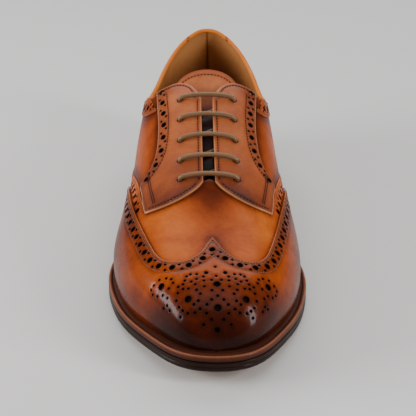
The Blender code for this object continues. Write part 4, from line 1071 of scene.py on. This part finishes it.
def follow(route, radii, corners):
    """Tube along a route: rings square to the route, turned as little as possible from one
    to the next, and both ends drawn in to a small cap. Returns points, faces and places."""
    along = unit(np.gradient(route, axis=0))
    across = np.zeros_like(route)
    across[0] = unit(np.cross(along[0], (0.0, 0.13, 1.0)))
    for row in range(1, len(route)):
        across[row] = unit(across[row - 1] - along[row] * np.dot(across[row - 1], along[row]))
    third = np.cross(along, across)
    angles = np.linspace(0, 2 * np.pi, corners, endpoint=False)
    ring = across[:, None] * np.cos(angles)[None, :, None]
    ring = ring + third[:, None] * np.sin(angles)[None, :, None]
    points = (route[:, None] + ring * np.asarray(radii)[:, None, None]).reshape(-1, 3)
    faces = ring_quads(len(route), corners).tolist()
    faces.append(list(range(corners))[::-1])
    faces.append(list(range((len(route) - 1) * corners, len(route) * corners)))
    travelled = walked(route)
    places = np.broadcast_arrays(travelled[:, None], angles[None] / (2 * np.pi))
    return points, faces, np.stack(places, -1).reshape(-1, 2)


def walk(rows, pitch):
    """Route of points in space read at even steps after a spline through its rows."""
    rows = np.asarray(rows, float)
    travelled = walked(rows)
    marks = np.linspace(0, travelled[-1], int(travelled[-1] / pitch) + 2)
    return np.stack([spline(travelled, rows[:, axis])(marks) for axis in range(3)], -1)


roll_at, roll_share = np.transpose([row for row in TOPLINE_ROWS if row[0] < 0.43])
roll_sides = [skin(turn(roll_at), side * (1 - roll_share), -0.0027) for side in (-1, 1)]
roll_route = walk(np.concatenate([roll_sides[0][::-1], roll_sides[1][1:]]), 0.0016)
to_end = np.minimum(np.arange(len(roll_route)), np.arange(len(roll_route))[::-1]) * 0.0016
roll_radii = ROLL_RADIUS * (0.25 + 0.75 * ramp(to_end, 0.0, 0.02))
roll_route[:, 2] -= roll_radii
points, faces, places = follow(roll_route, roll_radii, 16)
seam_marks = bell(np.abs(points[:, 0]) - 0.0135, 0.0006) * (points[:, 1] > 0.1)
tone = 0.25 + 0.45 * seam_marks + 0.35 * (1 - ramp(np.repeat(to_end, 16), 0.0, 0.01))
add_piece(
    "collar_bead", points, faces, roll_leather, ["collar_roll"],
    {"tone": tone, "painted_shade_and_seams": 0.5 * seam_marks},
)


# The tongue is one piece of soft calf lined with the same. It is sewn to the vamp below the
# facings, curves over the instep under the laces, and ends in a round, stitched top.
TONGUE_ROWS = (
    (0.402, -0.62), (0.420, -0.30), (0.440, 0.26), (0.458, 0.62), (0.476, 1.00), (0.560, 1.00),
    (0.640, 1.00), (0.685, 0.80), (0.715, 0.12), (0.740, 0.10),
)
TONGUE_HALF_WIDTH = 0.0270
TONGUE_CROWN = 0.042
TONGUE_THICK = 0.0020
SEWN_INSET = 0.0042
LACE_RADIUS = 0.00135
LACE_ROOM = 2 * LACE_RADIUS + 0.0008 + 2 * 0.0003
tongue_depth = spline(*zip(*TONGUE_ROWS))


def tongue_sheet(rows, columns, lift):
    """Strip across the ridge: the half width narrows by a smooth step towards the toe, the
    top edge bows with the square of the place, and the depth follows the lace's room."""
    at = np.linspace(TONGUE_ROWS[0][0], TONGUE_ROWS[-1][0], rows)[:, None]
    across = np.linspace(-1, 1, columns)[None, :]
    half_width = TONGUE_HALF_WIDTH * (1 - 0.30 * ramp(at, 0.56, 0.74))
    crown = TONGUE_CROWN * (1 - ramp(at, TONGUE_ROWS[0][0], EYELET_AT[0]))
    seat = at + crown * across ** 2
    outer = INNER_FACE - 0.0003 - LACE_ROOM * tongue_depth(seat)
    edge = np.minimum(1 - np.abs(across), 1.0) * half_width
    top = (at - at[0, 0]) * SHOE_LENGTH
    border = np.minimum(edge, top)
    round_edge = 0.0009 * (1 - ramp(border, 0.0, 0.0012)) ** 2
    furrow = 0.00025 * bell(border - SEWN_INSET, 0.0005)
    shift = lift - round_edge - furrow if lift > -0.001 else lift + round_edge
    return skin(turn(seat), across * half_width / girth(at), outer + shift), border, seat


tongue_rows, tongue_columns = 130, 70
tongue_top, border, seat = tongue_sheet(tongue_rows, tongue_columns, 0.0)
tongue_back, _, _ = tongue_sheet(tongue_rows, tongue_columns, -TONGUE_THICK)
sheet = np.arange(tongue_rows * tongue_columns).reshape(tongue_rows, tongue_columns)
top_faces = np.stack([sheet[:-1, :-1], sheet[1:, :-1], sheet[1:, 1:], sheet[:-1, 1:]], -1).reshape(-1, 4)
rim = np.concatenate([sheet[0], sheet[1:, -1], sheet[-1, -2::-1], sheet[-2:0:-1, 0]])
rim_faces = np.stack([rim, np.roll(rim, -1), np.roll(rim, -1) + sheet.size, rim + sheet.size], -1)
tongue_faces = np.concatenate([top_faces, top_faces[:, ::-1] + sheet.size, rim_faces])
# Painted shade: the tongue darkens as it runs down under the facings and laces.
tongue_tone = 0.14 + 0.40 * ramp(seat, 0.44, 0.52) + 0.22 * ramp(seat, 0.56, 0.68)
gap_width = np.abs(np.linspace(-1, 1, tongue_columns))[None, :] * TONGUE_HALF_WIDTH
# Painted shade on the tongue in the gap between the facings.
tongue_tone = tongue_tone + 0.28 * ramp(seat, 0.478, 0.50) * (1 - ramp(gap_width, 0.0050, 0.0100))
# Darker towards the tongue's edges, with painted shade along its stitch furrow.
tongue_tone = tongue_tone + 0.20 * (1 - ramp(border, 0.0, 0.004)) + 0.15 * bell(border - SEWN_INSET, 0.0010)
facing_colours = (
    (0.0, (0.52, 0.160, 0.054)), (0.25, (0.31, 0.072, 0.020)), (0.5, (0.155, 0.031, 0.010)),
    (0.75, (0.050, 0.010, 0.006)), (1.0, (0.012, 0.004, 0.004)),
)
# The facings get a brighter edge colour: a stronger painted highlight along the folded throat edge.
facing_calf = leather("facing_calf", facing_colours, 0.35, 0.08, sheen=0.14, edge=(0.66, 0.27, 0.11))
tongue_points = np.concatenate([tongue_top.reshape(-1, 3), tongue_back.reshape(-1, 3)])
add_piece(
    "tongue_leather", tongue_points, tongue_faces, facing_calf, ["tongue"],
    {"tone": np.tile(tongue_tone.ravel(), 2)},
)


def tongue_face(place):
    """Height of the tongue's outer face at a place of the pattern."""
    return INNER_FACE - 0.0003 - LACE_ROOM * tongue_depth(length_share(place[:, 0]))


across = np.linspace(-0.86, 0.86, 60)
sewn_at = TONGUE_ROWS[0][0] + SEWN_INSET / SHOE_LENGTH
sewn_crown = TONGUE_CROWN * (1 - float(ramp(sewn_at, TONGUE_ROWS[0][0], EYELET_AT[0])))
sewn_t = turn(sewn_at + sewn_crown * across ** 2)
tongue_row = flat(np.stack([sewn_t, across * TONGUE_HALF_WIDTH / float(girth(sewn_at))], -1))
stitches("stitching_tongue", [tongue_row], 0.0021, tongue_face, "dark", 0.00034)


# The facings carry the eyelets. Each is one piece of calf with a folded edge at the throat,
# a stitched front that stands proud of the vamp, and a brogued band along its outer edge.
FACING_THICK = 0.0014
FACING_FACE = QUARTER_FACE + 0.00055 + FACING_THICK


def facing_height(at):
    """The facing's height, plus a smooth step where it climbs over the vamp."""
    return FACING_FACE + 0.0008 * ramp(at, 0.600, 0.650)


def facing_face(place):
    """Height of the facing's outer face at a place of the pattern."""
    return facing_height(length_share(place[:, 0]))


band_middle = {
    side: beside(drawn(FACING_OUTER_ROWS[:8], side, 0.001), -side * BROGUE_INSET) for side in (-1, 1)
}


def facing_tone(side):
    """Pinkish tan, deep brown towards the front corner and lighter over the lacing."""

    def tone(place, point):
        at, share = length_share(place[:, 0]), 1 - np.abs(place[:, 1])
        front = bell(at - 0.712, 0.030) * ramp(share, 0.56, 0.74)
        band = 0.10 * np.exp(-(nearest(flat(place), band_middle[side]) / 0.0045) ** 4)
        sides = 0.06 * ramp(-share, -0.70, -0.56)
        lacing = 0.20 * ramp(at, 0.57, 0.71)
        return 0.20 + 0.28 * front + lacing + 0.12 * ramp(-at, -0.48, -0.44) + band + sides

    return tone


for side, word in SIDES:
    outer = drawn(FACING_OUTER_ROWS[:8], side, 0.001)
    front = drawn(FACING_FRONT_ROWS, side, 0.001)
    throat = drawn(throat_line(THROAT_HALF_GAP, THROAT_FRONT, THROAT_TOP), side, 0.001)
    top = drawn(FACING_TOP_ROWS, side, 0.001)
    foot = drawn(FACING_OUTER_ROWS[7:], side, 0.001)
    rows = {
        "dark": [
            beside(outer, -side * 0.0078)[8:-2], beside(front, -side * 0.0024)[2:-2],
            beside(throat, -side * 0.0022)[1:-1], beside(top, side * 0.0024)[2:-1],
            beside(foot, -side * 0.0062)[:-2], beside(foot, -side * 0.0074)[:-2],
        ],
        "pale": [beside(outer, -side * EDGE_STITCH)[1:], beside(foot, -side * EDGE_STITCH)[:-2]],
    }
    eyes = eyelets(side)
    holes = [(*place, EYELET_RADIUS) for place in eyes]
    holes += brogueing(outer, BROGUE_INSET, -side)

    def raised(plane):
        """Soft collar round each eyelet: a bell of the distance from its rim."""
        gap = nearest(plane, eyes) - EYELET_RADIUS
        return 0.00018 * bell(gap - 0.0006, 0.0005)

    # A strong painted highlight runs along the facing's edges.
    cut_panel(
        "lacing_front_" + word, facing_outline(side), facing_face, FACING_THICK, facing_tone(side),
        facing_calf, ["facing_" + word], holes, rows["dark"] + rows["pale"],
        pitch=0.0015, rounding=0.0005, ridge=raised, edge_highlight=0.65,
    )
    for colour, lines in rows.items():
        thread = 0.00036 if colour == "dark" else 0.00021
        label = "stitching_facing_" + colour + "_" + word
        stitches(label, lines, STITCH_PITCH, facing_face, colour, thread)


# The lace is one round waxed cotton braid. It runs straight over the throat five times and
# slants back under the facings, down through each eyelet and up through the next.
LACE_BEND = 0.00195
under = INNER_FACE - 0.0008 - LACE_RADIUS
lace_rows = []
for row, at in enumerate(EYELET_AT):
    wide = float(girth(at))
    w = (THROAT_HALF_GAP + EYELET_FROM_EDGE) / wide
    face = float(facing_height(at))
    bend = LACE_BEND / wide
    arc = np.linspace(0, np.pi / 2, 4)
    rise = [(at, -w + bend * (1 - np.cos(a)), face + LACE_BEND * np.sin(a)) for a in arc]
    bar = [(at, -w + 2 * w * share, face + LACE_BEND + 0.0003) for share in (0.3, 0.5, 0.7)]
    dive = [(at, w - bend * (1 - np.cos(a)), under + LACE_BEND * (1 - np.sin(a))) for a in arc]
    climb = [(step[0], -step[1], step[2]) for step in reversed(dive)]
    if row:
        before = np.array(lace_rows[-1])
        lace_rows += [tuple(before + (np.array(climb[0]) - before) * share) for share in (0.25, 0.5, 0.75)]
        lace_rows += climb
    else:
        lace_rows += climb[-1:]
    lace_rows += rise + bar + [(step[0], -step[1], step[2]) for step in reversed(rise)]
    lace_rows += dive if row < len(EYELET_AT) - 1 else dive[:1]
lace_rows = np.array(lace_rows)
lace_route = walk(skin(turn(lace_rows[:, 0]), lace_rows[:, 1], lace_rows[:, 2]), 0.0008)
cotton, tree = new_material("waxed_cotton")
lace_place = add_node(tree, "UVMap", uv_map="along").outputs["UV"]
braid = []
for turns in (3.0, -3.0):
    scaled = add_node(tree, "Mapping", {"Vector": lace_place, "Scale": (820.0, turns, 1.0)})
    split = add_node(tree, "SeparateXYZ", {0: scaled.outputs["Vector"]}).outputs
    slant = add_node(tree, "Math", {0: split["X"], 1: split["Y"]}, operation="ADD").outputs[0]
    braid.append(add_node(tree, "Math", {0: slant, 1: 0.5}, operation="PINGPONG").outputs[0])
strands = add_node(tree, "Math", dict(enumerate(braid)), operation="MULTIPLY").outputs[0]
dye = add_node(tree, "MapRange", {"Value": strands, "From Max": 0.25}).outputs["Result"]
dye = {"Factor": dye, "A": (0.105, 0.048, 0.016, 1.0), "B": (0.330, 0.165, 0.062, 1.0)}
bump = {"Strength": 0.35, "Distance": 0.0002, "Height": strands}
fill(tree, tree.nodes["Principled BSDF"], {
    "Base Color": add_node(tree, "Mix", dye, data_type="RGBA").outputs["Result"],
    "Roughness": 0.42, "Normal": add_node(tree, "Bump", bump).outputs["Normal"],
})
points, faces, places = follow(lace_route, np.full(len(lace_route), LACE_RADIUS), 16)
add_piece("lace", points, faces, cotton, ["laces"], places=places)


# The welt is a strip of leather stitched round the upper and the insole. Its top shows as a
# narrow shelf with a groove along it, and its burnished edge is rounded.
WELT_SEAT = 0.0095
WELT_TOP = OUTSOLE_THICK + WELT_THICK - 0.0003
WELT_INNER = WELT_SHOWN + WELT_SEAT
welt_turns = np.linspace(0, 1, 240)
groove = 0.42 * welt_shown(length_share(welt_turns))
# The third column is the tone. The pale band on the rounded top outer edge is partly burnish and partly a
# painted highlight.
welt_profile = (
    (WELT_INNER, OUTSOLE_THICK, 0.9), (0.0006, OUTSOLE_THICK, 0.9), (0.0, OUTSOLE_THICK + 0.0006, 0.8),
    (0.0, OUTSOLE_THICK + 0.0014, 0.62), (0.0, WELT_TOP - 0.0012, 0.55),
    (0.0002, WELT_TOP - 0.0005, 0.35), (0.0006, WELT_TOP - 0.0001, 0.12), (0.0011, WELT_TOP, 0.45),
    (groove, WELT_TOP, 0.60), (groove + 0.0004, WELT_TOP - 0.0003, 0.80),
    (groove + 0.0008, WELT_TOP, 0.62), (WELT_INNER, WELT_TOP, 0.80),
)
loops = [edge_loop(welt_turns, inset, over_sole(rise)) for inset, rise, _ in welt_profile]
welt_colours = (
    (0.0, (0.34, 0.130, 0.062)), (0.35, (0.150, 0.045, 0.022)), (0.6, (0.062, 0.018, 0.010)),
    (1.0, (0.014, 0.005, 0.004)),
)
welt_leather = leather("welt_leather", welt_colours, 0.40, 0.08, grain=0.12, blotch=0.12)
welt_tone = np.repeat([tone for _, _, tone in welt_profile], len(loops[0]))
welt_faces = ring_quads(len(loops), len(loops[0]), closed=True)[:, ::-1]
add_piece(
    "welt_strip", np.concatenate(loops), welt_faces, welt_leather, ["welt"],
    {"tone": welt_tone},
)


# The outsole is one piece of oak bark leather with a waxed, nearly black edge. A fine wheel
# line runs round the edge, and its underside is left plain and natural.
outsole_turns = np.linspace(0, 1, 200)
OUTSOLE_TOP = OUTSOLE_THICK - 0.0003
# The third column is the tone; the lighter band on the rounded top edge is a painted highlight.
outsole_profile = (
    (0.0016, 0.0, 0.10), (0.0006, 0.0005, 0.66), (0.0, 0.0014, 0.86), (0.0, 0.0028, 0.86),
    (0.00025, 0.0031, 0.92), (0.0, 0.0034, 0.86), (0.0, OUTSOLE_TOP - 0.0008, 0.82),
    (0.0003, OUTSOLE_TOP - 0.0002, 0.74), (0.0009, OUTSOLE_TOP, 0.86),
)
outsole_levels = [(inset, over_sole(rise)) for inset, rise, _ in outsole_profile]
sole_points, sole_faces = plate(outsole_turns, outsole_levels)
edge_colours = (
    (0.0, (0.42, 0.235, 0.110)), (0.4, (0.100, 0.040, 0.020)), (0.7, (0.026, 0.011, 0.007)),
    (1.0, (0.010, 0.005, 0.004)),
)
edge_leather = leather("sole_edge_leather", edge_colours, 0.38, 0.06, grain=0.10, blotch=0.16, scale=600.0)
sole_tone = np.repeat([tone for _, _, tone in outsole_profile], len(sole_points) // len(outsole_profile))
add_piece(
    "outsole_leather", sole_points, sole_faces, edge_leather, ["outsole"],
    {"tone": sole_tone},
)


# The heel is a stack of leather lifts nailed and glued under the outsole, waxed like its
# edge, with a hollow breast. A plain rubber top piece is fixed under the stack.
BREAST_AT = 0.262
BREAST_CURVE = 0.0040
HEEL_INSET = 0.0006
TOP_PIECE_THICK = 0.0062
LIFT_COUNT = 4
HEEL_COLUMNS = 9


def heel_sheet(inset, height):
    """Level of the heel: strips from the lateral to the medial edge, drawn back in the
    middle by a parabola that grows towards the breast."""
    turns = np.linspace(0, float(turn(BREAST_AT)), 48)
    lateral, medial = sole_edge(turns, -1, inset), sole_edge(turns, 1, inset)
    medial[0] = lateral[0]
    across = np.linspace(0, 1, HEEL_COLUMNS)
    sheet = lateral[:, None] * (1 - across[:, None]) + medial[:, None] * across[:, None]
    hollow = BREAST_CURVE * ramp(length_share(turns), 0.5 * BREAST_AT, BREAST_AT)
    sheet[..., 1] += hollow[:, None] * (1 - (2 * across - 1) ** 2)
    return np.concatenate([sheet, height(sheet[..., 1])[..., None]], -1)


def heel_block(levels):
    """Closed stack of heel levels, bottom up, with coinciding points made one. Gives its
    points, faces and the level of each point."""
    sheets = [heel_sheet(inset, height) for inset, height in levels]
    rows, columns = sheets[0].shape[:2]
    index = np.arange(rows * columns).reshape(rows, columns)
    border = np.concatenate([index[:-1, 0], index[-1], index[-2:0:-1, -1]])
    count = rows * columns
    sides = np.stack([border, np.roll(border, -1)], -1)
    faces = []
    for level in range(len(sheets) - 1):
        quads = np.concatenate([sides + level * count, sides[:, ::-1] + (level + 1) * count], 1)
        faces += quads.tolist()
    cap = np.stack([index[:-1, :-1], index[:-1, 1:], index[1:, 1:], index[1:, :-1]], -1).reshape(-1, 4)
    faces += cap.tolist() + (cap[:, ::-1] + (len(sheets) - 1) * count).tolist()
    points = np.concatenate([sheet.reshape(-1, 3) for sheet in sheets])
    _, first, back = np.unique(np.round(points, 7), axis=0, return_index=True, return_inverse=True)
    back = back.ravel()
    faces = [list(dict.fromkeys(back[face].tolist())) for face in faces]
    faces = [face for face in faces if len(face) > 2]
    kept, renamed = np.unique(np.concatenate([np.array(face) for face in faces]), return_inverse=True)
    ends = np.cumsum([len(face) for face in faces])
    faces = [part.tolist() for part in np.split(renamed, ends[:-1])]
    return points[first[kept]], faces, first[kept] // count


lift_foot, lift_head = TOP_PIECE_THICK + 0.0003, -0.0003
lift_levels, lift_tones = [], []
for lift in range(LIFT_COUNT):
    for share, groove in ((0.03, 0.0), (0.97, 0.0), (1.0, 0.0003)):
        part = (lift + share) / LIFT_COUNT
        if lift == LIFT_COUNT - 1 and share == 1.0:
            groove = 0.0
        lift_levels.append((
            HEEL_INSET * (1 - part) + groove,
            lambda y, part=part: lift_foot + (underside(y) + lift_head - lift_foot) * part,
        ))
        lift_tones.append(1.0 if groove else 0.72 + 0.05 * (lift % 2))
foot_level = HEEL_INSET, lambda y: np.full(np.shape(y), lift_foot)
points, faces, levels = heel_block([foot_level, *lift_levels])
add_piece(
    "heel_stack", points, faces, edge_leather, ["heel_lifts"],
    {"tone": np.array([0.8, *lift_tones])[levels]},
)

rubber_colours = ((0.0, (0.040, 0.036, 0.032)), (1.0, (0.012, 0.011, 0.010)))
rubber = leather("top_piece_rubber", rubber_colours, 0.62, 0.0, sheen=0.30, grain=0.22, scale=1500.0)
rubber_profile = (
    (0.0006, 0.0), (0.0, 0.0005), (0.0, TOP_PIECE_THICK - 0.0004), (0.0004, TOP_PIECE_THICK),
)
points, faces, _ = heel_block([
    (HEEL_INSET + inset, lambda y, rise=rise: np.full(np.shape(y), rise)) for inset, rise in rubber_profile
])
add_piece(
    "rubber_top_piece", points, faces, rubber, ["heel_top_piece"],
    {"tone": np.full(len(points), 0.5)},
)


# The studio is a pale paper floor under four soft boxes: a key on the lateral side, a fill on
# the medial side, one above the heel and one overhead. The camera looks down at the instep.
floor = bpy.data.meshes.new("floor")
floor.from_pydata([(-3, -3, 0), (3, -3, 0), (3, 3, 0), (-3, 3, 0)], [], [(0, 1, 2, 3)])
floor_piece = bpy.data.objects.new("floor", floor)
bpy.context.scene.collection.objects.link(floor_piece)
paper, tree = new_material("pale_paper")
fill(tree, tree.nodes["Principled BSDF"], {"Base Color": (0.64, 0.63, 0.615, 1.0), "Roughness": 0.9})
floor.materials.append(paper)
world = bpy.data.worlds.new("studio")
bpy.context.scene.world = world
world.use_nodes = True
sky = {"Color": (0.95, 0.97, 1.0, 1.0), "Strength": 0.20}
fill(world.node_tree, world.node_tree.nodes["Background"], sky)


def soft_box(name, place, towards, width, height, watts):
    """Area light that faces a point."""
    light = bpy.data.lights.new(name, "AREA")
    light.shape = "RECTANGLE"
    light.size, light.size_y = width, height
    light.energy = watts
    lamp = bpy.data.objects.new(name, light)
    lamp.location = place
    lamp.rotation_euler = (Vector(towards) - Vector(place)).to_track_quat("-Z", "Y").to_euler()
    bpy.context.scene.collection.objects.link(lamp)


soft_box("key", (-0.85, -0.16, 0.36), (0, -0.05, 0.05), 0.60, 0.24, 9.0)
soft_box("fill", (0.74, -0.40, 0.36), (0, -0.05, 0.05), 0.18, 0.62, 6.5)
soft_box("top", (0.0, 0.80, 1.00), (0, 0, 0.05), 1.40, 0.60, 11.0)
soft_box("overhead", (0.0, -0.30, 1.70), (0, 0, 0.05), 1.60, 1.20, 9.0)

camera_data = bpy.data.cameras.new("camera")
camera_data.sensor_width = 36.0
camera_data.lens = 100.5
camera = bpy.data.objects.new("camera", camera_data)
camera.location = (0.0012, -0.6399, 0.3485)
camera.rotation_euler = (np.radians(90 - 26.83), 0.0, np.radians(0.05))
bpy.context.scene.collection.objects.link(camera)
bpy.context.scene.camera = camera
